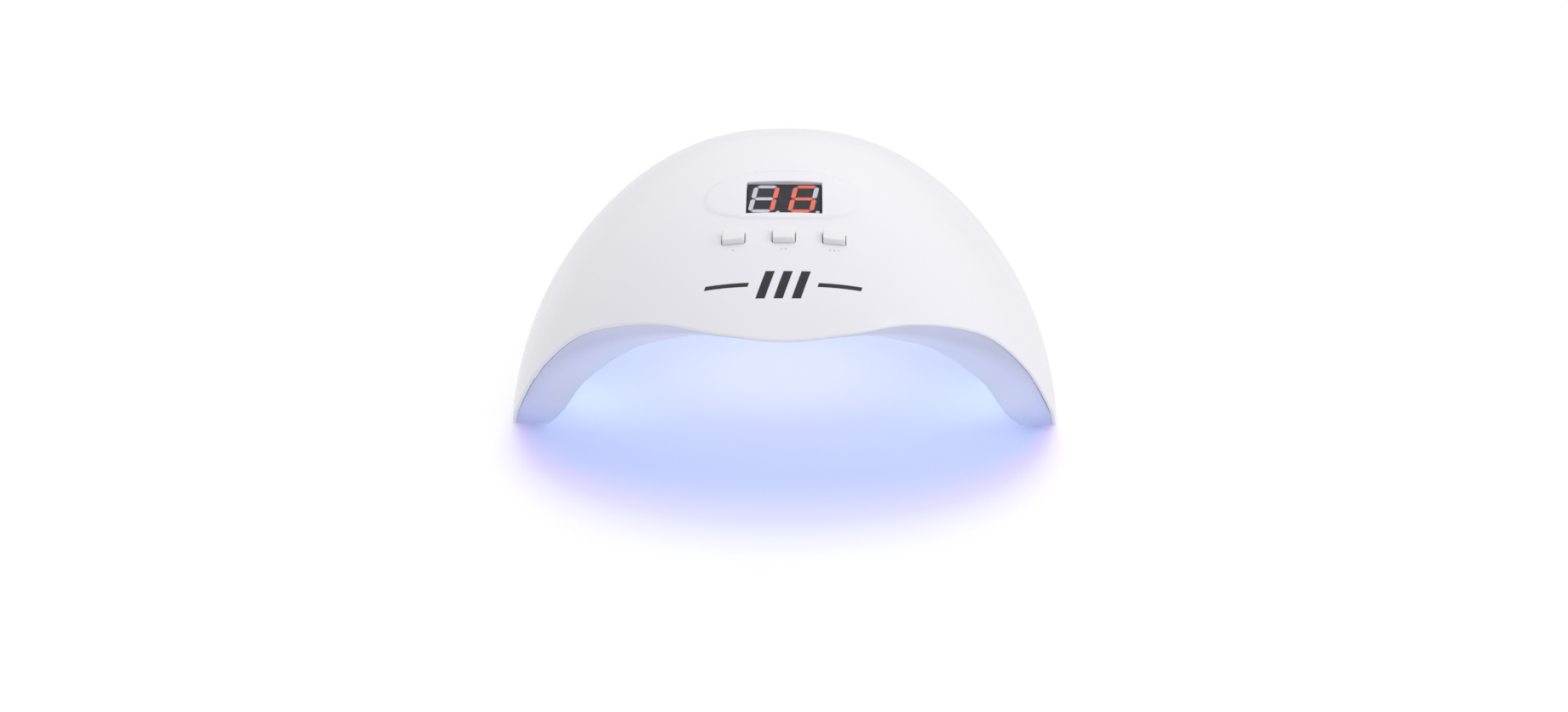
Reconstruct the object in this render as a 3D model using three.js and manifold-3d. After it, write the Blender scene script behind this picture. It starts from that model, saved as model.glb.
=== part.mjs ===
// A bottomless desktop lamp that cures UV gel and resin.
// A glossy domed shell stands over a hand-sized tunnel that is open to the front and at the bottom. A base frame
// carries the flared mouth and the foot ring, a white reflector bowl holds the rows of UV beads, and the control
// board hangs under the crown with a two-digit display and three push buttons.
//
// Millimetres, +Z up, the mouth towards -Y. The origin is on the table, under the middle of the bounding box.
import * as THREE from "three";
import { mergeVertices } from "three/addons/utils/BufferGeometryUtils.js";
import Module from "manifold-3d";

const wasm = await Module();
wasm.setup();

const radians = THREE.MathUtils.degToRad;
const mixed = THREE.MathUtils.lerp;

// ---------------------------------------------------------------- driving dimensions

const FOOT_STAND = 1.2; // height of the rubber feet under the base frame
const GAP = 0.35; // assembly clearance between separate pieces
const SEAM = 0.2; // the closed seam between the shell's lip and the flare
const WALL = 2.2; // moulded wall of the shell
const LIP_WALL = 1.1; // the same wall where it thins towards its lip
const FRONT_Y = -45.6; // front end of the foot ring, inside the flare's wall
const CROWN_Y = -8.95; // highest point of the shell

// Each dome is described by its reach from the crown and by how full its curves are. A plan power of 2 is an
// ellipse and more is squarer. The rise is (1 - r * r) ** fullness, so 0.5 is an ellipse and less is fuller.
const CURVES = { planFront: 2.66, planBack: 2.35, fullFront: 0.5, fullSide: 0.632, fullBack: 0.344 };
const SHELL = { side: 101.4, front: 127.8, back: 116.6, height: 92.05, base: FOOT_STAND, ...CURVES };

const PLATE = 2.6; // thickness of the base frame's foot ring
const RING_TOP = FOOT_STAND + PLATE;
const BOWL_WALL = 1.6;
const BOWL_BASE = RING_TOP + GAP;
const BOWL = { side: 90.5, front: 98, back: 95, height: 67.5, base: FOOT_STAND, ...CURVES };
const BOWL_EDGE = { back: 1.7, feet: 1.9 }; // its front edge lies this far behind the arch, and more at the feet

// Right halves of the two mouth outlines as seen from the front, as x and height over the shell's base line.
const LIP_OUTLINE = [
  [99.85, 0], [97.4, 10], [88.5, 28.7], [75, 45.2], [60, 54.8], [42, 59.8], [22, 59.6], [0, 58.4],
];
const ARCH_OUTLINE = [
  [87.8, 0], [84.8, 5], [79.2, 13.5], [73.3, 22.7], [66.3, 30], [56.8, 37.4], [46.7, 42.6],
  [27, 47.8], [0, 50.2],
];
const FLARE = { wall: 1.8, lip: 0.7, sag: 2.5, sagAt: 0.45, recess: 0.3, lap: 0.35 };

// The control panel is a plane that leans forward. Its own axes are x, v up the slope and n out of it.
const PANEL_TILT = radians(13);
const PANEL_POINT = new THREE.Vector3(0, -45.45, 89.3); // where the panel's normal leaves the shell
const DISPLAY = { width: 26.2, length: 20.6, depth: 8, recess: 1.2, stand: 1.6, margin: 0.35 };
const OVAL = { width: 59, length: 35, rise: 0.5, shift: 2.5 };
const BOARD = { width: 56, front: -33, back: 27, thick: 1.6, corner: 2 };
const BOARD_TOP = -(DISPLAY.recess + DISPLAY.depth + DISPLAY.stand);
const BOARD_LOW = BOARD_TOP - BOARD.thick;
const SOLDER = 0.3; // height of the joints between the board and what stands on it
const BUTTON = { pitch: 17.6, v: -23.9, width: 7.8, length: 6, proud: 2.1, corner: 0.9, clear: 0.4, stem: 3 };
const BUTTON_LEAN = { slope: 0.123, roll: 0.125 }; // how the shell falls away across a button, and to its side
const SKIRT = { drop: 1.8, wide: 0.9, thick: 0.8 }; // the rim under the shell that keeps a button in
const BUTTON_XS = { left: -BUTTON.pitch, middle: 0, right: BUTTON.pitch };
const SWITCH = { side: 6, body: 2.3, stem: 1.75, top: 3 };

const SCREW = { head: 2.3, headHigh: 1.5, shank: 1.05, length: 9, sunk: 0.8 };
const POST = { radius: 3.4, high: 8.6, inset: 5.6 };
const BOSS = { radius: 2.7, high: 8.4 };
const BOARD_SCREWS = [[24.4, -15], [-24.4, -15], [24.4, 22], [-24.4, 22]]; // on the panel, as x and v
const CASE_SCREWS = [-4.5, 16, 62]; // plan angles in degrees on the right side, mirrored on the left
const BOWL_SCREWS = [3, 38]; // likewise
const RUBBER_FEET = [-9, 50]; // likewise
const RUBBER = { radius: 3.6, sunk: 1 };

const BEAD = { pitch: 8.4, baseHigh: 1.4, radius: 2.3, hole: 3 };
const LED_BOARD = { thick: 1.2, wide: 11, stand: 1.9, end: 5.2, peg: 1.1, pegHole: 1.5, seat: 2.2 };
const LED_BOARDS = [
  // name, share of the way from crown to base, plan angle, rows and columns of beads
  ["top", 0, 0, 2, 4],
  ["upper_right", 0.47, -4, 1, 4],
  ["upper_left", 0.47, 184, 1, 4],
  ["lower_right", 0.76, -4, 1, 4],
  ["lower_left", 0.76, 184, 1, 4],
  ["rear_right", 0.66, 45, 1, 4],
  ["rear_left", 0.66, 135, 1, 4],
  ["rear_middle", 0.58, 90, 1, 4],
];

// The hand sensor is an infrared emitter and receiver that look down through the bowl.
const SENSOR = { apart: 7, y: -52.45, radius: 2.5, proud: 0.6, tall: 7.4, collar: 2.9 };

const JACK = { width: 9, length: 13, high: 11, nose: 4, bore: 3.1, boreDeep: 10, pin: 1 };
const JACK_Z = RING_TOP + GAP + JACK.high / 2;
const WIRE = { wide: 2.2, high: 1.3, step: 8 };
const CONNECTOR = { width: 8, length: 5.6, high: 4.6 };
const LED_CONNECTOR = [-17, 17]; // places under the control board
const POWER_CONNECTOR = [20, 5];

// ---------------------------------------------------------------- colours

const finish = (color, roughness, metalness = 0) => ({ color, roughness, metalness });
const GLOSS_WHITE = finish(0xf1f0f5, 0.16);
const SATIN_WHITE = finish(0xe9ebf6, 0.42);
const BOWL_WHITE = finish(0xf4f6ff, 0.3);
const BUTTON_WHITE = finish(0xeeedf2, 0.24);
const BLACK_PLASTIC = finish(0x17181b, 0.4);
const RUBBER_GREY = finish(0x2b2c2f, 0.85);
const BOARD_GREEN = finish(0x1d5a35, 0.45);
const BOARD_WHITE = finish(0xe4e6e8, 0.4);
const STEEL = finish(0xb9bcc1, 0.3, 1);
const NICKEL = finish(0xcfd0cc, 0.22, 1);
const WIRE_RED = finish(0x9e1f1c, 0.5);
const DARK_LENS = finish(0x14121f, 0.12);
const CLEAR_LENS = finish(0xdfe7ff, 0.08);
const CAN_BLUE = finish(0x23304f, 0.35);

// ---------------------------------------------------------------- solids

// A closed geometry as a manifold-3d solid, turned the right way out.
function solid(geometry) {
  const bare = geometry.clone();
  for (const name of Object.keys(bare.attributes)) {
    if (name !== "position") bare.deleteAttribute(name);
  }
  const merged = mergeVertices(bare, 1e-4);
  const vertProperties = new Float32Array(merged.attributes.position.array);
  const make = (triVerts) => new wasm.Manifold(new wasm.Mesh({ numProp: 3, vertProperties, triVerts }));
  const made = make(new Uint32Array(merged.index.array));
  if (made.volume() > 0) return made;
  return make(new Uint32Array(merged.index.array).reverse());
}

function geometryOf(made) {
  const mesh = made.getMesh();
  return new THREE.BufferGeometry()
    .setAttribute("position", new THREE.BufferAttribute(new Float32Array(mesh.vertProperties), 3))
    .setIndex(new THREE.BufferAttribute(new Uint32Array(mesh.triVerts), 1));
}

const box = (w, d, h) => new THREE.BoxGeometry(w, d, h);
const upright = (radius, height, sides = 12) =>
  new THREE.CylinderGeometry(radius, radius, height, sides).rotateX(Math.PI / 2);

// An upright cylinder from height low to height high.
const post = (radius, low, high, x = 0, y = 0, sides = 10) =>
  upright(radius, high - low, sides).translate(x, y, (low + high) / 2);

const block = (w, d, low, high, x = 0, y = 0) => box(w, d, high - low).translate(x, y, (low + high) / 2);

// A solid of revolution about Z. The profile is radius and height, from the axis back to the axis.
function turned(profile, sides = 12) {
  const points = profile.map(([r, z]) => new THREE.Vector2(r, z));
  return new THREE.LatheGeometry(points, sides).rotateX(Math.PI / 2);
}

function roundedRect(width, length, corner) {
  const shape = new THREE.Shape();
  const [w, l] = [width / 2, length / 2];
  shape.moveTo(-w + corner, -l);
  shape.lineTo(w - corner, -l);
  shape.absarc(w - corner, -l + corner, corner, -Math.PI / 2, 0, false);
  shape.lineTo(w, l - corner);
  shape.absarc(w - corner, l - corner, corner, 0, Math.PI / 2, false);
  shape.lineTo(-w + corner, l);
  shape.absarc(-w + corner, l - corner, corner, Math.PI / 2, Math.PI, false);
  shape.lineTo(-w, -l + corner);
  shape.absarc(-w + corner, -l + corner, corner, Math.PI, 1.5 * Math.PI, false);
  return shape;
}

function extruded(shape, low, high) {
  const options = { depth: high - low, bevelEnabled: false, curveSegments: 3 };
  return new THREE.ExtrudeGeometry(shape, options).translate(0, 0, low);
}

// ---------------------------------------------------------------- domes

// The point of a dome at a share of the way from its crown (0) to its base line (1), at a plan angle.
function domePoint(dome, share, angle) {
  const [c, s] = [Math.cos(angle), Math.sin(angle)];
  const behind = s > 0;
  const power = 2 / (behind ? dome.planBack : dome.planFront);
  const full = dome.fullSide + ((behind ? dome.fullBack : dome.fullFront) - dome.fullSide) * s * s;
  const radius = Math.sin((share * Math.PI) / 2);
  const rise = Math.max(Math.cos((share * Math.PI) / 2), 0) ** (2 * full);
  return new THREE.Vector3(
    dome.side * Math.sign(c) * Math.abs(c) ** power * radius,
    CROWN_Y + (behind ? dome.back : dome.front) * Math.sign(s) * Math.abs(s) ** power * radius,
    dome.base + dome.height * (rise < 1e-9 ? 0 : rise),
  );
}

// Where a point stands against a dome: its plan radius (1 on the base line), its angle and its level, which is
// negative inside the dome, 0 on its surface and positive outside.
function measure(dome, x, y, z) {
  const behind = y > CROWN_Y;
  const power = behind ? dome.planBack : dome.planFront;
  const across = Math.abs(x / dome.side) ** power;
  const along = Math.abs((y - CROWN_Y) / (behind ? dome.back : dome.front)) ** power;
  const radius = (across + along) ** (1 / power);
  const share = along / Math.max(across + along, 1e-12);
  const full = dome.fullSide + ((behind ? dome.fullBack : dome.fullFront) - dome.fullSide) * share;
  const level = radius * radius + (Math.abs(z - dome.base) / dome.height) ** (1 / full) - 1;
  const angle = Math.atan2(Math.sqrt(along) * (behind ? 1 : -1), Math.sqrt(across) * Math.sign(x));
  return { radius, angle, level };
}

function domeNormal(dome, p) {
  const step = 0.05;
  const slope = (dx, dy, dz) =>
    measure(dome, p.x + dx, p.y + dy, p.z + dz).level - measure(dome, p.x - dx, p.y - dy, p.z - dz).level;
  return new THREE.Vector3(slope(step, 0, 0), slope(0, step, 0), slope(0, 0, step)).normalize();
}

const moved = (dome, p, distance) => p.clone().addScaledVector(domeNormal(dome, p), distance);

// The height of a dome over a place in plan.
function heightAt(dome, x, y) {
  let [low, high] = [dome.base, dome.base + dome.height];
  for (let i = 0; i < 40; i++) {
    const middle = (low + high) / 2;
    if (measure(dome, x, y, middle).level < 0) low = middle;
    else high = middle;
  }
  return low;
}

// The point on the front of a dome with this x and height.
function frontPoint(dome, x, z) {
  let [outside, inside] = [CROWN_Y - dome.front, CROWN_Y];
  for (let i = 0; i < 40; i++) {
    const middle = (outside + inside) / 2;
    if (measure(dome, x, middle, z).level > 0) outside = middle;
    else inside = middle;
  }
  return new THREE.Vector3(x, inside, z);
}

// A smooth outline from its left end to its right end, made of a right half and its mirror image.
function mirrored(half) {
  const right = half.map(([x, z]) => new THREE.Vector2(x, z)).reverse();
  const left = half.slice(0, -1).map(([x, z]) => new THREE.Vector2(-x, z));
  const curve = new THREE.SplineCurve([...left, ...right]);
  curve.arcLengthDivisions = 800;
  return curve;
}

const LIP = mirrored(LIP_OUTLINE);
const ARCH = mirrored(ARCH_OUTLINE);

const lipPoint = (u) => {
  const { x, y } = LIP.getPointAt(u);
  return frontPoint(SHELL, x, SHELL.base + Math.max(y, 0));
};

const archPoint = (u) => {
  const { x, y } = ARCH.getPointAt(u);
  return frontPoint(BOWL, x, BOWL.base + Math.max(y, 0));
};

// A dome's surface as rows of points from its front edge, which edge(u) gives from left to right, to its back.
function domeGrid(dome, edge, columns, rows) {
  const flat = (share, angle) => new THREE.Vector2(share * Math.cos(angle), share * Math.sin(angle));
  const front = (u) => {
    const { radius, angle } = measure(dome, ...edge(u).toArray());
    return flat(Math.asin(Math.min(radius, 1)) / (Math.PI / 2), angle);
  };
  const footAngle = Math.atan2(front(1).y, front(1).x);
  const corner = radians(48);
  const right = (v) => flat(1, mixed(footAngle, corner, v));
  const left = (v) => flat(1, Math.PI - mixed(footAngle, corner, v));
  const back = (u) => flat(1, mixed(Math.PI - corner, corner, u));
  const mix = (a, b, t) => a.clone().lerp(b, t);
  const grid = [];
  for (let j = 0; j <= rows; j++) {
    const v = j / rows;
    const row = [];
    for (let i = 0; i <= columns; i++) {
      const u = i / columns;
      const across = mix(left(v), right(v), u);
      const along = mix(front(u), back(u), v);
      const corners = mix(mix(left(0), right(0), u), mix(left(1), right(1), u), v);
      const spot = across.add(along).sub(corners);
      const onEdge = j === 0 ? edge(u) : null;
      row.push(onEdge ?? domePoint(dome, Math.min(spot.length(), 1), Math.atan2(spot.y, spot.x)));
    }
    grid.push(row);
  }
  return grid;
}

// A closed body between two grids of the same size: the faces of each, joined around their four sides.
function between(outer, inner) {
  const [rows, columns] = [outer.length, outer[0].length];
  const count = rows * columns;
  const positions = [...outer.flat(), ...inner.flat()].flatMap((p) => p.toArray());
  const index = [];
  const quad = (a, b, c, d) => index.push(a, b, c, a, c, d);
  const at = (j, i) => j * columns + i;
  for (let j = 0; j < rows - 1; j++) {
    for (let i = 0; i < columns - 1; i++) {
      quad(at(j, i), at(j, i + 1), at(j + 1, i + 1), at(j + 1, i));
      quad(count + at(j, i), count + at(j + 1, i), count + at(j + 1, i + 1), count + at(j, i + 1));
    }
  }
  const rim = [];
  for (let i = 0; i < columns - 1; i++) rim.push(at(0, i));
  for (let j = 0; j < rows - 1; j++) rim.push(at(j, columns - 1));
  for (let i = columns - 1; i > 0; i--) rim.push(at(rows - 1, i));
  for (let j = rows - 1; j > 0; j--) rim.push(at(j, 0));
  rim.forEach((a, k) => {
    const b = rim[(k + 1) % rim.length];
    quad(a, count + a, count + b, b);
  });
  return new THREE.BufferGeometry()
    .setAttribute("position", new THREE.Float32BufferAttribute(positions, 3))
    .setIndex(index);
}

// A grid moved along its dome's normals and cut off level at its floor. Its front row can be moved less.
const offsetGrid = (dome, grid, distance, floor = dome.base, frontDistance = distance) =>
  grid.map((row, j) =>
    row.map((p) => {
      const q = moved(dome, p, j === 0 ? frontDistance : distance);
      q.z = p.z < floor + 0.01 ? floor : Math.max(q.z, floor);
      return q;
    }),
  );

// ---------------------------------------------------------------- the panel's own frame

const panelFrame = new THREE.Matrix4()
  .makeTranslation(PANEL_POINT.x, PANEL_POINT.y, PANEL_POINT.z)
  .multiply(new THREE.Matrix4().makeRotationX(PANEL_TILT));

const onPanel = (geometry) => geometry.clone().applyMatrix4(panelFrame);
const panelAt = (x, v, n) => new THREE.Vector3(x, v, n).applyMatrix4(panelFrame);

// How far the shell's surface stands over the panel's plane at a place on it.
function shellOverPanel(x, v) {
  let [low, high] = [-30, 30];
  for (let i = 0; i < 40; i++) {
    const middle = (low + high) / 2;
    if (measure(SHELL, ...panelAt(x, v, middle).toArray()).level < 0) low = middle;
    else high = middle;
  }
  return low;
}

// ---------------------------------------------------------------- housing

function outerShell() {
  const grid = domeGrid(SHELL, lipPoint, 26, 15);
  const inside = offsetGrid(SHELL, grid, -WALL, SHELL.base, -LIP_WALL);
  let made = solid(between(grid, inside)).add(ovalPlateau());
  for (const { x, y } of caseSpots()) {
    made = made.add(solid(post(POST.radius, RING_TOP + GAP, RING_TOP + GAP + POST.high, x, y)));
  }
  for (const [x, v] of BOARD_SCREWS) {
    const top = shellOverPanel(x, v) - 0.8 * WALL;
    made = made.add(solid(onPanel(post(2.6, BOARD_TOP + GAP, top, x, v))));
  }
  const { width, length, corner, clear } = BUTTON;
  const key = extruded(roundedRect(width + 2 * clear, length + 2 * clear, corner + clear), -9, 9);
  const cuts = [
    onPanel(box(DISPLAY.width + 2 * DISPLAY.margin, DISPLAY.length + 2 * DISPLAY.margin, 16)),
    ...Object.values(BUTTON_XS).map((x) => onPanel(key.clone().translate(x, BUTTON.v, 0))),
    ...caseSpots().map(({ x, y }) => post(SCREW.shank + 0.25, 0, SCREW.length + 2.5, x, y)),
    ...BOARD_SCREWS.map(([x, v]) => onPanel(post(SCREW.shank + 0.25, BOARD_TOP - 1, BOARD_TOP + 4, x, v))),
    new THREE.CylinderGeometry(JACK.nose + GAP, JACK.nose + GAP, 12, 20).translate(0, backY(), JACK_Z),
  ];
  for (const cut of cuts) made = made.subtract(solid(cut));
  return largest(made);
}

// The shallow raised oval around the display: rings of points on the shell, lifted by its rise.
function ovalPlateau() {
  const rings = [0.02, 0.55, 1];
  const around = 24;
  const spot = (ring, k) => {
    const angle = (-2 * Math.PI * k) / around;
    return [(ring * OVAL.width * Math.cos(angle)) / 2, OVAL.shift + (ring * OVAL.length * Math.sin(angle)) / 2];
  };
  const lifted = (distance) =>
    rings.map((ring) => {
      const row = [];
      for (let k = 0; k < around; k++) {
        const [x, v] = spot(ring, k);
        row.push(panelAt(x, v, shellOverPanel(x, v) + distance));
      }
      return row;
    });
  return solid(ringed(lifted(OVAL.rise), lifted(-WALL / 2)));
}

// A closed body between two sets of rings, each from a small inner ring to its outer one.
function ringed(top, floor) {
  const around = top[0].length;
  const rows = [...top, ...floor.reverse()];
  const index = [];
  rows.forEach((row, j) => {
    if (j === rows.length - 1) return;
    for (let k = 0; k < around; k++) {
      const [a, b] = [j * around + k, j * around + ((k + 1) % around)];
      index.push(a, a + around, b, b, a + around, b + around);
    }
  });
  const last = (rows.length - 1) * around;
  for (let k = 1; k < around - 1; k++) {
    index.push(0, k, k + 1);
    index.push(last, last + k + 1, last + k);
  }
  return new THREE.BufferGeometry()
    .setAttribute("position", new THREE.Float32BufferAttribute(rows.flat().flatMap((p) => p.toArray()), 3))
    .setIndex(index);
}

const backY = () => CROWN_Y + SHELL.back;
const jackY = () => backY() - WALL - 1.6 - JACK.length / 2;
const jackEnd = () => backY() - GAP; // the socket's nose ends just inside the shell's back

// Places on the foot ring, at plan angles on both sides, and at a distance from a dome's base line.
const ringSpots = (dome, angles, distance) =>
  angles.flatMap((degrees) => {
    const spot = moved(dome, domePoint(dome, 1, radians(degrees)), distance);
    return [spot, new THREE.Vector3(-spot.x, spot.y, spot.z)];
  });
const caseSpots = () => ringSpots(SHELL, CASE_SCREWS, -POST.inset);
const bowlSpots = () => ringSpots(BOWL, BOWL_SCREWS, BOSS.radius + 0.3);
const rubberSpots = () => ringSpots(SHELL, RUBBER_FEET, -(WALL + RUBBER.radius + 1.2));

// The main body of a solid, without the chips that a cut leaves.
function largest(made) {
  const bodies = made.decompose().sort((a, b) => b.volume() - a.volume());
  return bodies[0];
}

// The flared mouth: a strip from just inside the shell's lip back to just inside the bowl's front edge.
function flareGrid(columns, rows) {
  const grid = [];
  for (let j = 0; j <= rows; j++) {
    const row = [];
    for (let i = 0; i <= columns; i++) {
      const u = i / columns;
      const start = moved(SHELL, lipPoint(u), -(LIP_WALL + SEAM + FLARE.lip / 2));
      start.y += FLARE.recess;
      const end = moved(BOWL, archPoint(u), -FLARE.lap);
      const pull = start.clone().lerp(end, FLARE.sagAt);
      pull.z -= FLARE.sag * Math.sin(Math.PI * u);
      const p = new THREE.QuadraticBezierCurve3(start, pull, end).getPoint(j / rows);
      if (i === 0 || i === columns) p.z = SHELL.base;
      row.push(p);
    }
    grid.push(row);
  }
  return grid;
}

// The flare's hidden side, one wall thickness away from the mouth and thinner at the lip.
function flareBack(grid) {
  const [lastRow, last] = [grid.length - 1, grid[0].length - 1];
  return grid.map((row, j) =>
    row.map((p, i) => {
      const along = row[Math.min(i + 1, last)].clone().sub(row[Math.max(i - 1, 0)]);
      const back = grid[Math.min(j + 1, lastRow)][i].clone().sub(grid[Math.max(j - 1, 0)][i]);
      const away = along.cross(back).normalize();
      const q = p.clone().addScaledVector(away, mixed(FLARE.lip, FLARE.wall, j / lastRow));
      if (i === 0 || i === last) q.z = SHELL.base;
      return q;
    }),
  );
}

function footRing() {
  const shape = new THREE.Shape();
  const steps = 28;
  const foot = measure(SHELL, ...lipPoint(1).toArray()).angle;
  const outer = [];
  const inner = [];
  for (let k = 0; k <= steps; k++) {
    const angle = foot + (k / steps) * (Math.PI - 2 * foot);
    outer.push(moved(SHELL, domePoint(SHELL, 1, angle), -(WALL + GAP + 0.2)));
    inner.push(moved(BOWL, domePoint(BOWL, 1, angle), -0.4));
  }
  for (const edge of [outer[0], outer.at(-1), inner[0], inner.at(-1)]) edge.y = FRONT_Y;
  const outline = [...outer, ...inner.reverse()];
  shape.setFromPoints(outline.map((p) => new THREE.Vector2(p.x, Math.max(p.y, FRONT_Y))));
  return extruded(shape, FOOT_STAND, RING_TOP);
}

function baseFrame() {
  const flare = flareGrid(26, 3);
  let made = solid(between(flareBack(flare), flare)).add(solid(footRing()));
  // Side walls that hold the power socket.
  for (const side of [-1, 1]) {
    const x = side * (JACK.width / 2 + GAP + 0.8);
    made = made.add(solid(block(1.6, JACK.length - 4, FOOT_STAND + 0.5, JACK_Z + 2, x, jackY())));
  }
  const cuts = [...caseSpots(), ...bowlSpots()].flatMap(({ x, y }) => [
    post(SCREW.head + GAP, 0, FOOT_STAND + SCREW.sunk + 0.15, x, y),
    post(SCREW.shank + GAP, 0, RING_TOP + 1, x, y),
  ]);
  for (const { x, y } of rubberSpots()) {
    cuts.push(post(RUBBER.radius + 0.3, 0, FOOT_STAND + RUBBER.sunk + 0.3, x, y, 14));
  }
  for (const cut of cuts) made = made.subtract(solid(cut));
  return largest(made);
}

// ---------------------------------------------------------------- reflector bowl and its beads

// Each LED board's own frame: x along the board, y across it, z out of the bowl, and its origin on the bowl's
// visible face.
function ledFrames() {
  return LED_BOARDS.map(([name, share, degrees, rows, columns]) => {
    const angle = radians(degrees);
    const origin = domePoint(BOWL, share, angle);
    const out = domeNormal(BOWL, origin);
    const level = new THREE.Vector3(-out.y, out.x, 0);
    const along = share === 0 ? new THREE.Vector3(1, 0, 0) : level.normalize();
    const across = out.clone().cross(along);
    const frame = new THREE.Matrix4().makeBasis(along, across, out).setPosition(origin);
    const beads = [];
    for (let j = 0; j < rows; j++) {
      for (let i = 0; i < columns; i++) {
        beads.push([(i - (columns - 1) / 2) * BEAD.pitch, (j - (rows - 1) / 2) * BEAD.pitch]);
      }
    }
    const half = ((columns - 1) / 2) * BEAD.pitch + LED_BOARD.end + 2.4;
    const wide = LED_BOARD.wide + (rows - 1) * BEAD.pitch;
    return { name, frame, beads, half, wide, pegs: [-(half - 2.6), half - 2.6] };
  });
}

const LED_LOW = BOWL_WALL + LED_BOARD.stand; // from the bowl's visible face to the board's underside
const LED_HIGH = LED_LOW + LED_BOARD.thick;

function ledBoard({ frame, beads, half, wide, pegs }) {
  let made = solid(block(2 * half, wide, LED_LOW, LED_HIGH));
  for (const x of pegs) {
    made = made.subtract(solid(post(LED_BOARD.pegHole, LED_LOW - 1, LED_HIGH + 1, x, 0, 6)));
  }
  const rim = LED_LOW - BEAD.baseHigh;
  const shoulder = BEAD.radius * Math.SQRT1_2;
  const bead = turned([
    [0, rim - BEAD.radius], [shoulder, rim - shoulder], [BEAD.radius, rim],
    [BEAD.radius, LED_LOW + 0.4], [0, LED_LOW + 0.4],
  ], 8);
  for (const [x, y] of beads) made = made.add(solid(bead.clone().translate(x, y, 0)));
  return made.transform(frame.toArray());
}

function reflectorBowl(frames) {
  // The front edge lies just behind the flare, whose wall stands across it near the feet and along it on top.
  const edge = (u) => {
    const p = archPoint(u);
    p.y += BOWL_EDGE.back + BOWL_EDGE.feet * Math.cos(Math.PI * u) ** 2;
    return p;
  };
  const grid = domeGrid(BOWL, edge, 16, 10);
  const skin = (distance) => offsetGrid(BOWL, grid, distance, BOWL_BASE);
  let made = solid(between(skin(BOWL_WALL), skin(0)));
  for (const { x, y } of bowlSpots()) {
    made = made.add(solid(post(BOSS.radius, BOWL_BASE, BOWL_BASE + BOSS.high, x, y)));
    made = made.subtract(solid(post(SCREW.shank + 0.25, 0, SCREW.length + 2.5, x, y)));
  }
  for (const { frame, beads, pegs } of frames) {
    const inFrame = (geometry) => solid(geometry.applyMatrix4(frame));
    for (const x of pegs) {
      const peg = turned([
        [0, BOWL_WALL / 2], [LED_BOARD.seat, BOWL_WALL / 2], [LED_BOARD.seat, LED_LOW - GAP],
        [LED_BOARD.peg, LED_LOW - GAP], [LED_BOARD.peg, LED_HIGH + 0.9], [0, LED_HIGH + 0.9],
      ], 6);
      made = made.add(inFrame(peg.translate(x, 0, 0)));
    }
    for (const [x, y] of beads) made = made.subtract(inFrame(upright(BEAD.hole, 12, 8).translate(x, y, 0)));
  }
  for (const x of [-SENSOR.apart, SENSOR.apart]) {
    const hole = upright(SENSOR.radius + 0.4, 14, 12);
    made = made.subtract(solid(hole.translate(x, SENSOR.y, heightAt(BOWL, x, SENSOR.y))));
  }
  return largest(made);
}

function sensorBulb(x) {
  const low = heightAt(BOWL, x, SENSOR.y) - SENSOR.proud;
  const { radius, tall, collar, y } = SENSOR;
  const bulb = turned([
    [0, low], [radius * 0.6, low + radius * 0.2], [radius, low + radius], [radius, low + tall - 1],
    [collar, low + tall - 1], [collar, low + tall], [0, low + tall],
  ], 10).translate(x, y, 0);
  const underBoard = BOARD_LOW / Math.cos(PANEL_TILT) + (y - PANEL_POINT.y) * Math.tan(PANEL_TILT);
  const top = PANEL_POINT.z + underBoard - GAP - 0.2;
  let made = solid(bulb);
  for (const side of [-1.27, 1.27]) {
    made = made.add(solid(block(0.6, 0.6, low + tall - 0.5, top, x + side, y)));
  }
  return made;
}

// ---------------------------------------------------------------- control board and buttons

function mainBoard() {
  const { width, front, back, corner } = BOARD;
  const plate = extruded(roundedRect(width, back - front, corner), BOARD_LOW, BOARD_TOP);
  let made = solid(plate.translate(0, (back + front) / 2, 0));
  // Soldered chips under the board.
  const chips = [[12, 9, 1.6, 0, 3], [6.5, 9.5, 2.4, -16, -6], [6.5, 9.5, 2.4, -16, 6], [5, 4, 1.3, 10, 14]];
  for (const [w, d, h, x, v] of chips) {
    made = made.add(solid(block(w, d, BOARD_LOW - h, BOARD_LOW + 0.2, x, v)));
  }
  for (const [x, v] of BOARD_SCREWS) {
    made = made.subtract(solid(post(1.5, BOARD_LOW - 1, BOARD_TOP + 1, x, v)));
  }
  return made;
}

function displayModule() {
  const { width, length, depth, recess, stand } = DISPLAY;
  let made = solid(block(width, length, -recess - depth, -recess));
  for (const row of [-1, 1]) {
    for (let k = -2; k <= 2; k++) {
      const pin = block(0.6, 0.6, -recess - depth - stand + GAP, -recess - depth + 0.5, 2.54 * k, row * 7.6);
      made = made.add(solid(pin));
    }
  }
  return made;
}

// A cap whose top lies parallel to the shell around it. A skirt under the shell keeps it in, and a stem reaches
// down to the switch.
function buttonCap(x) {
  const { width, length, corner, proud, stem } = BUTTON;
  const top = shellOverPanel(x, BUTTON.v);
  const low = top - WALL - SKIRT.drop;
  const key = extruded(roundedRect(width, length, corner), 0, top + proud - low);
  const spots = key.attributes.position;
  for (let i = 0; i < spots.count; i++) {
    const lift = BUTTON_LEAN.slope * spots.getY(i) - Math.sign(x) * BUTTON_LEAN.roll * spots.getX(i);
    if (spots.getZ(i) > 0.01) spots.setZ(i, spots.getZ(i) + lift);
  }
  const foot = block(width + 2 * SKIRT.wide, length + 2 * SKIRT.wide, low - SKIRT.thick, low + 0.05);
  const shaft = block(stem, stem, BOARD_TOP + SWITCH.top + GAP, low);
  return solid(key.translate(0, 0, low)).add(solid(foot)).add(solid(shaft)).translate(x, BUTTON.v, 0);
}

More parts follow.
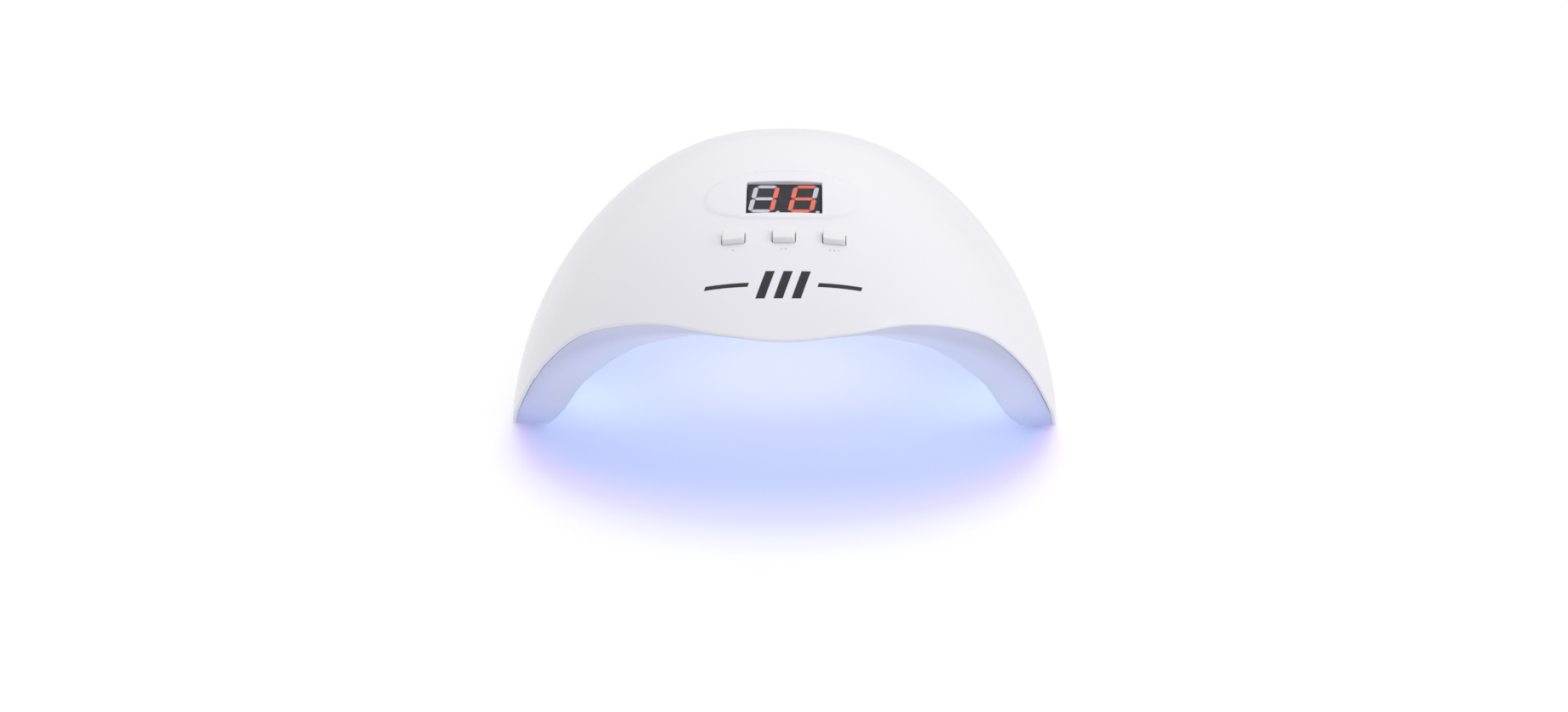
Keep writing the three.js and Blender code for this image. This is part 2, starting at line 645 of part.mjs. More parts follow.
function switchBody(x) {
  const body = block(SWITCH.side, SWITCH.side, BOARD_TOP + 0.3, BOARD_TOP + SWITCH.body, x, BUTTON.v);
  const bore = post(SWITCH.stem + 0.3, BOARD_TOP + 0.7, BOARD_TOP + 9, x, BUTTON.v, 12);
  return solid(body).subtract(solid(bore));
}

const switchPlunger = (x) => solid(post(SWITCH.stem, BOARD_TOP + 1.4, BOARD_TOP + SWITCH.top, x, BUTTON.v, 12));

// A pan head with its shank, head down, its head's top face at height 0.
function screw(length) {
  const { head, headHigh, shank } = SCREW;
  return turned([
    [0, 0], [head * 0.75, 0], [head, headHigh * 0.55], [head, headHigh], [shank, headHigh],
    [shank, length - 0.8], [0, length],
  ], 8);
}

const boardScrew = ([x, v]) => solid(screw(5.6).translate(x, v, BOARD_LOW - SCREW.headHigh - GAP));
const caseScrew = ({ x, y }) =>
  solid(screw(SCREW.length).translate(x, y, FOOT_STAND + SCREW.sunk - SCREW.headHigh));
const rubberFoot = ({ x, y }) => solid(turned([
  [0, 0], [RUBBER.radius - 0.5, 0], [RUBBER.radius, 0.5], [RUBBER.radius, FOOT_STAND + RUBBER.sunk],
  [0, FOOT_STAND + RUBBER.sunk],
], 14).translate(x, y, 0));

const smoothing = () => solid(turned([
  [0, 0], [3.1, 0], [3.1, 6.8], [2.8, 7.2], [0, 7.2],
], 18).rotateX(Math.PI).translate(16, -12, BOARD_LOW - SOLDER));

const choke = () =>
  solid(extruded(roundedRect(9, 9, 2.2), BOARD_LOW - SOLDER - 4, BOARD_LOW - SOLDER).translate(0, 14, 0));

function connector([x, v]) {
  const top = BOARD_LOW - SOLDER;
  return solid(block(CONNECTOR.width, CONNECTOR.length, top - CONNECTOR.high, top, x, v));
}

// ---------------------------------------------------------------- power socket

function jackBody() {
  const back = jackY() + JACK.length / 2;
  let made = solid(box(JACK.width, JACK.length, JACK.high).translate(0, jackY(), JACK_Z));
  const along = (radius, from, to) => {
    const rod = new THREE.CylinderGeometry(radius, radius, to - from, 20);
    return solid(rod.translate(0, (from + to) / 2, JACK_Z));
  };
  made = made.add(along(JACK.nose, back - 1, jackEnd()));
  made = made.subtract(along(JACK.bore, jackEnd() - JACK.boreDeep, jackEnd() + 1));
  return made;
}

function jackPin() {
  const [from, to] = [jackEnd() - JACK.boreDeep + GAP, jackEnd() - 1.2];
  const pin = new THREE.CylinderGeometry(JACK.pin * 0.8, JACK.pin, to - from, 14);
  return solid(pin.translate(0, (from + to) / 2, JACK_Z));
}

// ---------------------------------------------------------------- wiring

// A flat two-core lead as one tube along a smooth route.
function lead(points) {
  const route = new THREE.CatmullRomCurve3(points, false, "centripetal");
  const section = new THREE.Shape().absellipse(0, 0, WIRE.wide / 2, WIRE.high / 2, 0, 2 * Math.PI);
  const steps = Math.max(6, Math.round(route.getLength() / WIRE.step));
  return solid(new THREE.ExtrudeGeometry(section, { steps, curveSegments: 2, extrudePath: route }));
}

// Points between two places, at one distance from the bowl.
function hugging(from, to, distance, count) {
  const [a, b] = [from, to].map((p) => measure(BOWL, p.x, p.y, p.z));
  const share = ({ radius }) => Math.asin(Math.min(radius, 1)) / (Math.PI / 2);
  const turn = THREE.MathUtils.euclideanModulo(b.angle - a.angle + Math.PI, 2 * Math.PI) - Math.PI;
  const points = [];
  for (let k = 1; k <= count; k++) {
    const t = k / (count + 1);
    const spot = domePoint(BOWL, mixed(share(a), share(b), t), a.angle + turn * t);
    points.push(moved(BOWL, spot, distance));
  }
  return points;
}

// A place over the face of a LED board, given along it and above its face.
const overBoard = ({ frame }, along, lift) => new THREE.Vector3(along, 0, LED_HIGH + lift).applyMatrix4(frame);

function ledLeads(frames) {
  const byName = Object.fromEntries(frames.map((f) => [f.name, f]));
  const link = (from, along, to, toAlong, distance) => {
    const [a, b] = [byName[from], byName[to]];
    const [up, down] = [overBoard(a, along, 2), overBoard(b, toAlong, 2)];
    const between = hugging(up, down, distance, 2);
    return lead([overBoard(a, along, GAP), up, ...between, down, overBoard(b, toAlong, GAP)]);
  };
  return {
    top_right: link("top", 12, "upper_right", 0, 8.6),
    top_left: link("top", -12, "upper_left", 0, 8.6),
    side_right: link("upper_right", 5, "lower_right", 5, 8),
    side_left: link("upper_left", -5, "lower_left", -5, 8),
    rear_right: link("lower_right", 11, "rear_right", -11, 7.5),
    rear_left: link("lower_left", -11, "rear_left", 11, 7.5),
    rear: link("rear_right", 11, "rear_middle", -11, 8.6),
  };
}

// From the connector under the control board to the top LED board.
function feedLead(frames) {
  const top = frames.find(({ name }) => name === "top");
  const [x, v] = LED_CONNECTOR;
  const level = BOARD_LOW - SOLDER - CONNECTOR.high / 2;
  const start = v + CONNECTOR.length / 2 + GAP;
  const [down, up] = [overBoard(top, -6, GAP), overBoard(top, -6, 2)];
  return lead([panelAt(x, start, level), panelAt(x, start + 3, level), up, down]);
}

// From the power socket up behind the bowl to the control board.
function powerLead() {
  const back = jackY() - JACK.length / 2 - GAP;
  const start = new THREE.Vector3(0, back, JACK_Z);
  const [x, v] = POWER_CONNECTOR;
  const level = BOARD_LOW - SOLDER - CONNECTOR.high / 2;
  const end = v + CONNECTOR.length / 2 + GAP;
  const climb = [[0.84, 84], [0.74, 74], [0.6, 66], [0.42, 52], [0.27, 24]].map(([share, degrees]) =>
    moved(BOWL, domePoint(BOWL, share, radians(degrees)), 12.5),
  );
  const turn = start.clone().add(new THREE.Vector3(0, -2, 0));
  return lead([start, turn, ...climb, panelAt(x, end + 4, level), panelAt(x, end, level)]);
}

// ---------------------------------------------------------------- assembly

const lamp = new THREE.Group();
lamp.name = "uv_curing_lamp";

function place(name, made, look, parent = lamp) {
  const material = new THREE.MeshStandardMaterial(look);
  const mesh = new THREE.Mesh(geometryOf(made), material);
  mesh.name = name;
  parent.add(mesh);
}

const frames = ledFrames();
place("outer_shell", outerShell(), GLOSS_WHITE);
place("base_frame", baseFrame(), SATIN_WHITE);
place("reflector_bowl", reflectorBowl(frames), BOWL_WHITE);
for (const frame of frames) place(`led_board_${frame.name}`, ledBoard(frame), BOARD_WHITE);
for (const [name, made] of Object.entries(ledLeads(frames))) place(`led_lead_${name}`, made, WIRE_RED);
place("led_lead_feed", feedLead(frames), WIRE_RED);
place("power_lead", powerLead(), BLACK_PLASTIC);
place("infrared_emitter", sensorBulb(-SENSOR.apart), CLEAR_LENS);
place("infrared_receiver", sensorBulb(SENSOR.apart), DARK_LENS);
place("power_socket", jackBody(), BLACK_PLASTIC);
place("power_socket_pin", jackPin(), NICKEL);

// Pieces that stand in pairs around the foot ring, named from the front to the back.
function placePairs(kind, rows, spots, make, look) {
  spots.forEach((spot, k) => {
    place(`${kind}_${rows[Math.floor(k / 2)]}_${spot.x > 0 ? "right" : "left"}`, make(spot), look);
  });
}

placePairs("case_screw", ["front", "middle", "rear"], caseSpots(), caseScrew, STEEL);
placePairs("bowl_screw", ["middle", "rear"], bowlSpots(), caseScrew, STEEL);
placePairs("rubber_foot", ["front", "rear"], rubberSpots(), rubberFoot, RUBBER_GREY);

const panel = new THREE.Group();
panel.name = "control_panel";
panel.applyMatrix4(panelFrame);
lamp.add(panel);
place("main_board", mainBoard(), BOARD_GREEN, panel);
place("display_module", displayModule(), BLACK_PLASTIC, panel);
for (const [name, x] of Object.entries(BUTTON_XS)) {
  place(`button_cap_${name}`, buttonCap(x), BUTTON_WHITE, panel);
  place(`switch_body_${name}`, switchBody(x), BLACK_PLASTIC, panel);
  place(`switch_plunger_${name}`, switchPlunger(x), BLACK_PLASTIC, panel);
}
BOARD_SCREWS.forEach((spot, k) => place(`board_screw_${k + 1}`, boardScrew(spot), STEEL, panel));
place("smoothing_capacitor", smoothing(), CAN_BLUE, panel);
place("choke_coil", choke(), BLACK_PLASTIC, panel);
place("led_connector", connector(LED_CONNECTOR), BOARD_WHITE, panel);
place("power_connector", connector(POWER_CONNECTOR), BOARD_WHITE, panel);

export default lamp;
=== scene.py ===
"""The looks of a UV curing lamp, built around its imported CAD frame.

Lengths are in millimetres until a mesh is made. The mouth looks towards -Y and the table is at height 0.
"""

from math import cos, pi, radians, sin

import bmesh
import bpy
import numpy as np
from mathutils import Matrix, Vector


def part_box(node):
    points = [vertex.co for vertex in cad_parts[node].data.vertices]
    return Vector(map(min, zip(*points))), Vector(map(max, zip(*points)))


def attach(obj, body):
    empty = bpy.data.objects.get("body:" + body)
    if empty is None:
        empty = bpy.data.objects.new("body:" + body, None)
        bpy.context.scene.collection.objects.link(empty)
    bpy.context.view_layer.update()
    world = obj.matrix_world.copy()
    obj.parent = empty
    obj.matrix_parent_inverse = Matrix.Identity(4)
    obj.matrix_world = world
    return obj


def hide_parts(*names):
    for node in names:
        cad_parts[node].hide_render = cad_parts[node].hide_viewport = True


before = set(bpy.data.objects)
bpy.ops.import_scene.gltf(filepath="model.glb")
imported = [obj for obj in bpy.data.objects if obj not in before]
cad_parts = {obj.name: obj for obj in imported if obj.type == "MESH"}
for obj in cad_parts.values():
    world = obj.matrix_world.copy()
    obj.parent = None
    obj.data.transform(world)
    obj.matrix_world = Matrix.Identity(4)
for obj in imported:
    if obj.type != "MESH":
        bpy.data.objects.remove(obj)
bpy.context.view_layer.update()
scene = bpy.context.scene

MM = 0.001
TAU = 2 * pi
FINE = 1.0  # share of the full mesh density

# --- dimensions

# These are the CAD model's own, but for SEAM and the keys' clear, which are 0.05 and 0.15 smaller here,
# and for what only this model has: LIP_SHARE, and the LED plates' corners and packages.
FOOT_STAND = 1.2
GAP = 0.35
SEAM = 0.15
WALL = 2.2
LIP_WALL = 1.1
LIP_SHARE = 1 / 15  # the wall grows from LIP_WALL to WALL over this share of the way back
FRONT_Y = -45.6
CROWN_Y = -8.95
CURVES = dict(plan_front=2.66, plan_back=2.35, full_front=0.5, full_side=0.632, full_back=0.344)
SHELL = dict(side=101.4, front=127.8, back=116.6, height=92.05, base=FOOT_STAND, **CURVES)
BOWL = dict(side=90.5, front=98, back=95, height=67.5, base=FOOT_STAND, **CURVES)
PLATE = 2.6
RING_TOP = FOOT_STAND + PLATE
BOWL_WALL = 1.6
BOWL_BASE = RING_TOP + GAP
BOWL_EDGE = dict(back=1.7, feet=1.9)
LIP_OUTLINE = [
    (99.85, 0), (97.4, 10), (88.5, 28.7), (75, 45.2), (60, 54.8), (42, 59.8), (22, 59.6), (0, 58.4),
]
ARCH_OUTLINE = [
    (87.8, 0), (84.8, 5), (79.2, 13.5), (73.3, 22.7), (66.3, 30), (56.8, 37.4), (46.7, 42.6),
    (27, 47.8), (0, 50.2),
]
FLARE = dict(wall=1.8, lip=0.7, sag=2.5, sag_at=0.45, recess=0.3, lap=0.35)
PANEL_TILT = radians(13)
PANEL_POINT = np.array([0, -45.45, 89.3])
DISPLAY = dict(width=26.2, length=20.6, depth=8, recess=1.2, stand=1.6, margin=0.35)
OVAL = dict(width=59, length=35, rise=0.5, shift=2.5)
BOARD_DROP = DISPLAY["recess"] + DISPLAY["depth"] + DISPLAY["stand"]
BUTTON = dict(pitch=17.6, v=-23.9, width=7.8, length=6, proud=2.1, corner=0.9, clear=0.25,
              slope=0.123, roll=0.125)
SKIRT = dict(drop=1.8, wide=0.9, thick=0.8)
SWITCH_TOP = 3
BEAD = dict(pitch=8.4, base_high=1.4, radius=2.3, hole=3)
LED_LOW = BOWL_WALL + 1.9
LED_HIGH = LED_LOW + 1.2
LED_PLATE = dict(wide=11, ends=7.6, corner=1.2, package=3.1, peg=1.1, foot=2.2, peg_in=2.6)
LED_BOARDS = {  # name: share of the way from crown to base, plan angle, rows, columns
    "top": (0, 0, 2, 4),
    "upper_right": (0.47, -4, 1, 4),
    "upper_left": (0.47, 184, 1, 4),
    "lower_right": (0.76, -4, 1, 4),
    "lower_left": (0.76, 184, 1, 4),
    "rear_right": (0.66, 45, 1, 4),
    "rear_left": (0.66, 135, 1, 4),
    "rear_middle": (0.58, 90, 1, 4),
}
SENSOR = dict(apart=7, y=-52.45, radius=2.5, proud=0.6, tall=7.4, collar=2.9)
CASE_SCREWS = dict(angles=(-4.5, 16, 62), out=-5.6, post=3.4, tall=8.6)
BOWL_SCREWS = dict(angles=(3, 38), out=3.0, post=2.7, tall=8.4)
BOARD_POST = 2.6
SCREW = dict(head=2.3, head_high=1.5, shank=1.05, length=9, sunk=0.8)
SCREW_BORE = SCREW["shank"] + 0.25
RUBBER = dict(radius=3.6, sunk=1)
RUBBER_FEET = dict(angles=(-9, 50), out=-(WALL + RUBBER["radius"] + 1.2))
JACK = dict(width=9, length=13, high=11, nose=4, bore=3.1, bore_deep=10)
JACK_Z = RING_TOP + GAP + JACK["high"] / 2
BACK_Y = CROWN_Y + SHELL["back"]
JACK_Y = BACK_Y - WALL - 1.6 - JACK["length"] / 2
JACK_END = BACK_Y - 0.35  # the socket's face, just inside the shell's
BOARD_SCREWS = ((24.4, -15), (-24.4, -15), (24.4, 22), (-24.4, 22))

# --- domes


def stacked(*parts):
    """Coordinates, each a number or an array, as points."""
    return np.stack(np.broadcast_arrays(*parts), axis=-1)


def unit(vectors):
    return vectors / np.maximum(np.linalg.norm(vectors, axis=-1, keepdims=True), 1e-12)


def half_of(dome, behind, kind=""):
    """One of a dome's dimensions in front of its crown, or behind it."""
    return np.where(behind, dome[kind + "back"], dome[kind + "front"])


def fullness(dome, behind, share):
    """How full a dome's upright curve is, from its sides (share 0) to its front or back (share 1)."""
    return dome["full_side"] + (half_of(dome, behind, "full_") - dome["full_side"]) * share


def dome_point(dome, share, angle):
    """Points at shares of the way from the crown (0) to the base line (1), at plan angles."""
    c, s = np.cos(angle), np.sin(angle)
    behind = s > 0
    power = 2 / half_of(dome, behind, "plan_")
    radius = np.sin(share * pi / 2)
    rise = np.maximum(np.cos(share * pi / 2), 0) ** (2 * fullness(dome, behind, s * s))
    x = dome["side"] * np.sign(c) * np.abs(c) ** power * radius
    y = CROWN_Y + half_of(dome, behind) * np.sign(s) * np.abs(s) ** power * radius
    z = dome["base"] + dome["height"] * np.where(rise < 1e-9, 0, rise)
    return stacked(x, y, z)


def measure(dome, p):
    """Plan radius, plan angle and level (0 on the surface, positive outside) of points against a dome."""
    x, y, z = p[..., 0], p[..., 1], p[..., 2]
    behind = y > CROWN_Y
    power = half_of(dome, behind, "plan_")
    across = np.abs(x / dome["side"]) ** power
    along = np.abs((y - CROWN_Y) / half_of(dome, behind)) ** power
    radius = (across + along) ** (1 / power)
    share = along / np.maximum(across + along, 1e-12)
    rise = np.abs(z - dome["base"]) / dome["height"]
    level = radius**2 + rise ** (1 / fullness(dome, behind, share)) - 1
    angle = np.arctan2(np.sqrt(along) * np.where(behind, 1, -1), np.sqrt(across) * np.sign(x))
    return radius, angle, level


def slope(field, p):
    """The gradient of a field at points, by central differences."""
    step = 0.05
    sides = [field(p + step * e) - field(p - step * e) for e in np.eye(3)]
    return np.stack(sides, axis=-1) / (2 * step)


def dome_normal(dome, p):
    return unit(slope(lambda q: measure(dome, q)[2], p))


def moved(dome, p, distance):
    """Points moved out of a dome along its normals."""
    return p + distance * dome_normal(dome, p)


def bisect(inside_at, low, high):
    """The border between low, which is inside, and high, which isn't, for whole arrays at once."""
    low, high = np.array(low, float), np.array(high, float)
    halvings = 44
    for _ in range(halvings):
        middle = (low + high) / 2
        inside = inside_at(middle)
        low = np.where(inside, middle, low)
        high = np.where(inside, high, middle)
    return low


def front_point(dome, curve, u):
    """The points on the front of a dome that lie on a curve seen from the front."""
    xz = curve(u)
    x, z = xz[..., 0], dome["base"] + np.maximum(xz[..., 1], 0)

    def at(y):
        return stacked(x, y, z)

    near, far = np.full_like(x, CROWN_Y), np.full_like(x, CROWN_Y - dome["front"])
    return at(bisect(lambda y: measure(dome, at(y))[2] <= 0, near, far))


def height_at(dome, x, y):
    """The height of a dome over a place on the table."""
    def inside_at(z):
        return measure(dome, np.array([x, y, z]))[2] < 0

    return float(bisect(inside_at, dome["base"], dome["base"] + dome["height"]))


def mirrored(half):
    """A function of 0..1 that runs along the smooth curve through a right half and its mirror image."""
    right = [np.array(p, float) for p in half][::-1]
    left = [np.array((-x, z), float) for x, z in half[:-1]]
    points = np.array(left + right)
    last = len(points) - 1
    t = np.linspace(0, last, 6000)
    k = np.minimum(t.astype(int), last - 1)
    w = (t - k)[:, None]
    p0, p1, p2, p3 = (points[np.clip(k + d, 0, last)] for d in (-1, 0, 1, 2))
    v0, v1 = (p2 - p0) / 2, (p3 - p1) / 2
    curve = (2 * p1 - 2 * p2 + v0 + v1) * w**3 + (-3 * p1 + 3 * p2 - 2 * v0 - v1) * w**2 + v0 * w + p1
    run = np.concatenate([[0], np.cumsum(np.linalg.norm(np.diff(curve, axis=0), axis=1))])
    run /= run[-1]
    return lambda u: stacked(np.interp(u, run, curve[:, 0]), np.interp(u, run, curve[:, 1]))


lip_curve, arch_curve = mirrored(LIP_OUTLINE), mirrored(ARCH_OUTLINE)


def lip_point(u):
    return front_point(SHELL, lip_curve, u)


def arch_point(u):
    return front_point(BOWL, arch_curve, u)


def spread(count, centre=0.5, width=0.2, factor=0.0):
    """Values from 0 to 1 that lie closer together round a centre."""
    t = np.linspace(0, 1, 2001)
    density = 1 + factor * np.exp(-(((t - centre) / width) ** 2))
    run = np.concatenate([[0], np.cumsum((density[1:] + density[:-1]) / 2)])
    return np.interp(np.linspace(0, 1, max(int(count * FINE), 8) + 1), run / run[-1], t)


def share_at(dome, angle, lift):
    """The share at which a dome stands this high over its base line."""
    s = np.sin(angle)
    return np.arccos((lift / dome["height"]) ** (0.5 / fullness(dome, s > 0, s * s))) * 2 / pi


def between(a, b, c, d, u, v):
    """Places between four corners: a to b at v = 0, and d to c at v = 1."""
    return (a * (1 - u) + b * u) * (1 - v) + (d * (1 - u) + c * u) * v


def dome_grid(dome, edge, us, vs, lift=0.0):
    """A dome's surface as rows of points from its front edge to its back, cut off level at a lift."""
    corner = radians(48)

    def flat(share, angle):
        return stacked(share * np.cos(angle), share * np.sin(angle))

    def base(angle):
        return flat(share_at(dome, angle, lift), angle)

    front_row = edge(us)
    radius, angle, _ = measure(dome, front_row)
    front = flat(np.arcsin(np.minimum(radius, 1)) * 2 / pi, angle)
    foot = angle[-1]
    right = base(foot + (corner - foot) * vs)
    left = base(pi - (foot + (corner - foot) * vs))
    back = base((pi - corner) + (2 * corner - pi) * us)
    u, v = us[None, :, None], vs[:, None, None]
    across = left[:, None] * (1 - u) + right[:, None] * u
    along = front[None] * (1 - v) + back[None] * v
    spot = across + along - between(left[0], right[0], right[-1], left[-1], u, v)
    share = np.minimum(np.linalg.norm(spot, axis=-1), 1)
    grid = dome_point(dome, share, np.arctan2(spot[..., 1], spot[..., 0]))
    grid[0] = front_row
    return grid


# --- the panel's own frame

PANEL = np.array(Matrix.Rotation(PANEL_TILT, 3, "X"))


def panel_at(x, v, n):
    """Points of the panel's frame, as points of the lamp's."""
    return PANEL_POINT + stacked(x, v, n) @ PANEL.T


def shell_over_panel(x, v):
    """How far the shell stands over the panel's plane at places on it."""
    x, v = np.broadcast_arrays(np.asarray(x, float), np.asarray(v, float))

    def inside_at(n):
        return measure(SHELL, panel_at(x, v, n))[2] < 0

    return bisect(inside_at, np.full(x.shape, -30.0), np.full(x.shape, 30.0))


def smooth_step(t):
    t = np.clip(t, 0, 1)
    return t * t * (3 - 2 * t)


def oval_rise(p):
    """How far the soft raised oval round the display lifts the shell at points."""
    local = (p - PANEL_POINT) @ PANEL
    across = np.abs(2 * local[..., 0] / OVAL["width"]) ** 2.5
    along = np.abs(2 * (local[..., 1] - OVAL["shift"]) / OVAL["length"]) ** 2.5
    return OVAL["rise"] * smooth_step((1 - (across + along) ** 0.4) / 0.09)


def shell_normal(p):
    """The outward normal of the shell's visible surface, with its oval."""
    n = dome_normal(SHELL, p)
    tilt = slope(oval_rise, p)
    return unit(n - (tilt - (tilt * n).sum(-1, keepdims=True) * n))


# --- meshes


def quads(rows, columns, flip=False, first=0):
    """Faces of a grid of points."""
    j, i = np.meshgrid(np.arange(rows - 1), np.arange(columns - 1), indexing="ij")
    a = j * columns + i
    b, c, d = a + 1, a + columns + 1, a + columns
    order = (a, d, c, b) if flip else (a, b, c, d)
    return (np.stack(order, axis=-1).reshape(-1, 4) + first).tolist()


def add_object(name, data):
    """An object with this mesh, camera or light, in the scene."""
    obj = bpy.data.objects.new(name, data)
    scene.collection.objects.link(obj)
    return obj


def make_mesh(points, faces):
    """A mesh in metres, its double points merged."""
    mesh = bpy.data.meshes.new("mesh")
    mesh.from_pydata((np.asarray(points) * MM).tolist(), [], faces)
    work = bmesh.new()
    work.from_mesh(mesh)
    bmesh.ops.remove_doubles(work, verts=work.verts, dist=1e-7)
    bmesh.ops.recalc_face_normals(work, faces=work.faces)
    work.to_mesh(mesh)
    work.free()
    return mesh


def outward(mesh):
    """The mesh of a closed body, with its faces looking out."""
    work = bmesh.new()
    work.from_mesh(mesh)
    if work.calc_volume(signed=True) < 0:
        mesh.flip_normals()
    work.free()
    return mesh


def inset(grid, amount, reach):
    """A grid whose rim is pulled in along the surface, easing out over the rows and columns next to it."""
    down = unit(np.gradient(grid, axis=0))
    across = unit(np.gradient(grid, axis=1))
    j, i = np.arange(grid.shape[0]), np.arange(grid.shape[1])

    def pull(k):
        return np.maximum(0, 1 - k / reach) - np.maximum(0, 1 - k[::-1] / reach)

    return grid + amount * (down * pull(j)[:, None, None] + across * pull(i)[None, :, None])


def rim_of(rows, columns):
    """Row and column numbers once round the rim of a grid."""
    down, right = np.arange(rows - 1), np.arange(columns - 1)
    j = np.concatenate([0 * right, down, 0 * right + rows - 1, rows - 1 - down])
    i = np.concatenate([right, 0 * down + columns - 1, columns - 1 - right, 0 * down])
    return j, i


def quarter_round(count):
    """How far in from both sides each point of a quarter round lies, as shares of its radius."""
    return [(1 - cos(b), 1 - sin(b)) for b in np.linspace(0, pi / 2, count)]


def rounded_body(outer, inner, outer_round, inner_round, steps=4, reach=12):
    """A closed body between two grids of one size, with a rounded edge along both sides of its rim."""
    rows, columns = outer.shape[:2]
    j, i = rim_of(rows, columns)
    p, q = outer[j, i], inner[j, i]
    out, into = inset(outer, outer_round, reach), inset(inner, inner_round, reach)
    through = unit(q - p)
    outer_shift, inner_shift = out[j, i] - p, into[j, i] - q
    bends = quarter_round(steps + 1)
    rings = [p + outer_round * through * c + outer_shift * s for c, s in bends[1:]]
    rings += [q - inner_round * through * s + inner_shift * c for c, s in bends[:-1]]
    count = rows * columns
    points = np.concatenate([out.reshape(-1, 3), into.reshape(-1, 3), *rings])
    faces = quads(rows, columns) + quads(rows, columns, flip=True, first=count)
    around = len(j)
    loops = [j * columns + i]
    loops += [2 * count + k * around + np.arange(around) for k in range(len(rings))]
    loops.append(count + j * columns + i)
    for a, b in zip(loops[:-1], loops[1:]):
        following = np.roll(a, -1), np.roll(b, -1)
        faces += np.stack([a, b, following[1], following[0]], axis=-1).tolist()
    return outward(make_mesh(points, faces))


def loft(rings):
    """A closed body through rings of one size. A flat face closes each end, unless its ring is one point."""
    points, faces, starts = [], [], []
    for ring in rings:
        starts.append(len(points))
        points += list(ring)
    for k in range(len(rings) - 1):
        a, b = len(rings[k]), len(rings[k + 1])
        if a == 1 or b == 1:
            tip, first, size = starts[k], starts[k + 1], b
            if a > 1:
                tip, first, size = first, tip, a
            faces += [(tip, first + m, first + (m + 1) % size) for m in range(size)]
        else:
            one, two = starts[k], starts[k + 1]
            faces += [(one + m, one + (m + 1) % a, two + (m + 1) % a, two + m) for m in range(a)]
    for k in (0, len(rings) - 1):
        if len(rings[k]) > 1:
            faces.append(tuple(range(starts[k], starts[k] + len(rings[k]))))
    return outward(make_mesh(points, faces))


def turned(profile, sides, centre=(0, 0, 0)):
    """A body of revolution about Z through radius and height pairs."""
    turn = np.arange(sides) * TAU / sides
    rings = []
    for radius, z in profile:
        if radius == 0:
            rings.append([np.array(centre) + (0, 0, z)])
        else:
            rings.append(stacked(radius * np.cos(turn), radius * np.sin(turn), z) + np.array(centre))
    return loft(rings)


def rounded_rect(width, length, corner, parts, arc):
    """Points round a rounded rectangle, with its straight sides divided into parts."""
    points = []
    w, h = width / 2 - corner, length / 2 - corner
    centres = [(w, h), (-w, h), (-w, -h), (w, -h)]
    for k, centre in enumerate(centres):
        bends = (k + np.arange(arc + 1) / arc) * pi / 2
        points += [centre + corner * np.array([cos(b), sin(b)]) for b in bends]
        last = corner * np.array([cos(bends[-1]), sin(bends[-1])])
        start, end = points[-1], centres[(k + 1) % 4] + last
        count = parts[k % 2]
        points += [start + (end - start) * m / count for m in range(1, count)]
    return np.array(points)


def growing_rect(width, length, corner, parts=(1, 1), arc=6, least=0.02):
    """A rounded rectangle as a function of how far it grows on every side."""
    return lambda g: rounded_rect(width + 2 * g, length + 2 * g, max(corner + g, least), parts, arc)


def at_height(flat, z):
    """An outline in the plane as a ring of points at one height, or at one height each."""
    return np.column_stack([flat, np.broadcast_to(z, len(flat))])


def slab(outline, low, high, edge):
    """A plate of an outline given as a function of growth, with its top and bottom edges rounded off."""
    rings = []
    for end, way in ((low, 1), (high, -1)):
        part = [at_height(outline(-edge * s), end + way * edge * c) for c, s in quarter_round(4)]
        rings += part[::way]
    return loft(rings)


def box_mesh(w, d, low, high, x=0.0, y=0.0, edge=0.15):
    """A block with rounded edges."""
    outline = growing_rect(w, d, edge, arc=3)
    return slab(lambda g: outline(g) + (x, y), low, high, edge)


def cylinder(radius, low, high, x, y=0.0, sides=32):
    return turned([(radius, low), (radius, high)], sides, (x, y, 0))


def round_edge(radius, low, inner=0.0, count=9):
    """The part of a turned body's profile that runs round its lower edge."""
    return [(inner + radius * (1 - s), low + radius * c) for c, s in quarter_round(count)]


def stood(mesh, place, turn=0.0, axis="X"):
    """The mesh, turned about an axis and then moved to its place."""
    mesh.transform(Matrix.Translation(Vector(place) * MM) @ Matrix.Rotation(turn, 4, axis))
    return mesh


def on_panel(mesh):
    """A mesh made in the panel's frame, moved to where it stands."""
    return stood(mesh, PANEL_POINT, PANEL_TILT)


def along_y(mesh, y):
    """A body of revolution turned to lie along Y, at the socket's height, with its height 0 at y."""
    return stood(mesh, (0, y, JACK_Z), -pi / 2)


def joined(meshes):
    """Several meshes as one, without joining their surfaces."""
    work = bmesh.new()
    for mesh in meshes:
        work.from_mesh(mesh)
    made = bpy.data.meshes.new("mesh")
    work.to_mesh(made)
    work.free()
    return made


def cut(mesh, cutters, operation="DIFFERENCE"):
    """A mesh with closed bodies, which don't touch each other, taken out of it or added to it."""
    base, tool = add_object("base", mesh), add_object("tool", joined(cutters))
    boolean = base.modifiers.new("cut", "BOOLEAN")
    boolean.operation, boolean.solver, boolean.object = operation, "MANIFOLD", tool
    bpy.context.view_layer.update()
    made = bpy.data.meshes.new_from_object(base.evaluated_get(bpy.context.evaluated_depsgraph_get()))
    if len(made.polygons) in (0, len(mesh.polygons)):
        raise RuntimeError("a boolean changed nothing or left nothing")
    for o in (base, tool):
        bpy.data.objects.remove(o)
    return made


def shade(mesh, angle=35):
    """Smooth shading, with edges sharper than an angle kept hard."""
    work = bmesh.new()
    work.from_mesh(mesh)
    for face in work.faces:
        face.smooth = True
    for line in work.edges:
        line.smooth = len(line.link_faces) == 2 and line.calc_face_angle(0) < radians(angle)
    work.to_mesh(mesh)
    work.free()
    return mesh


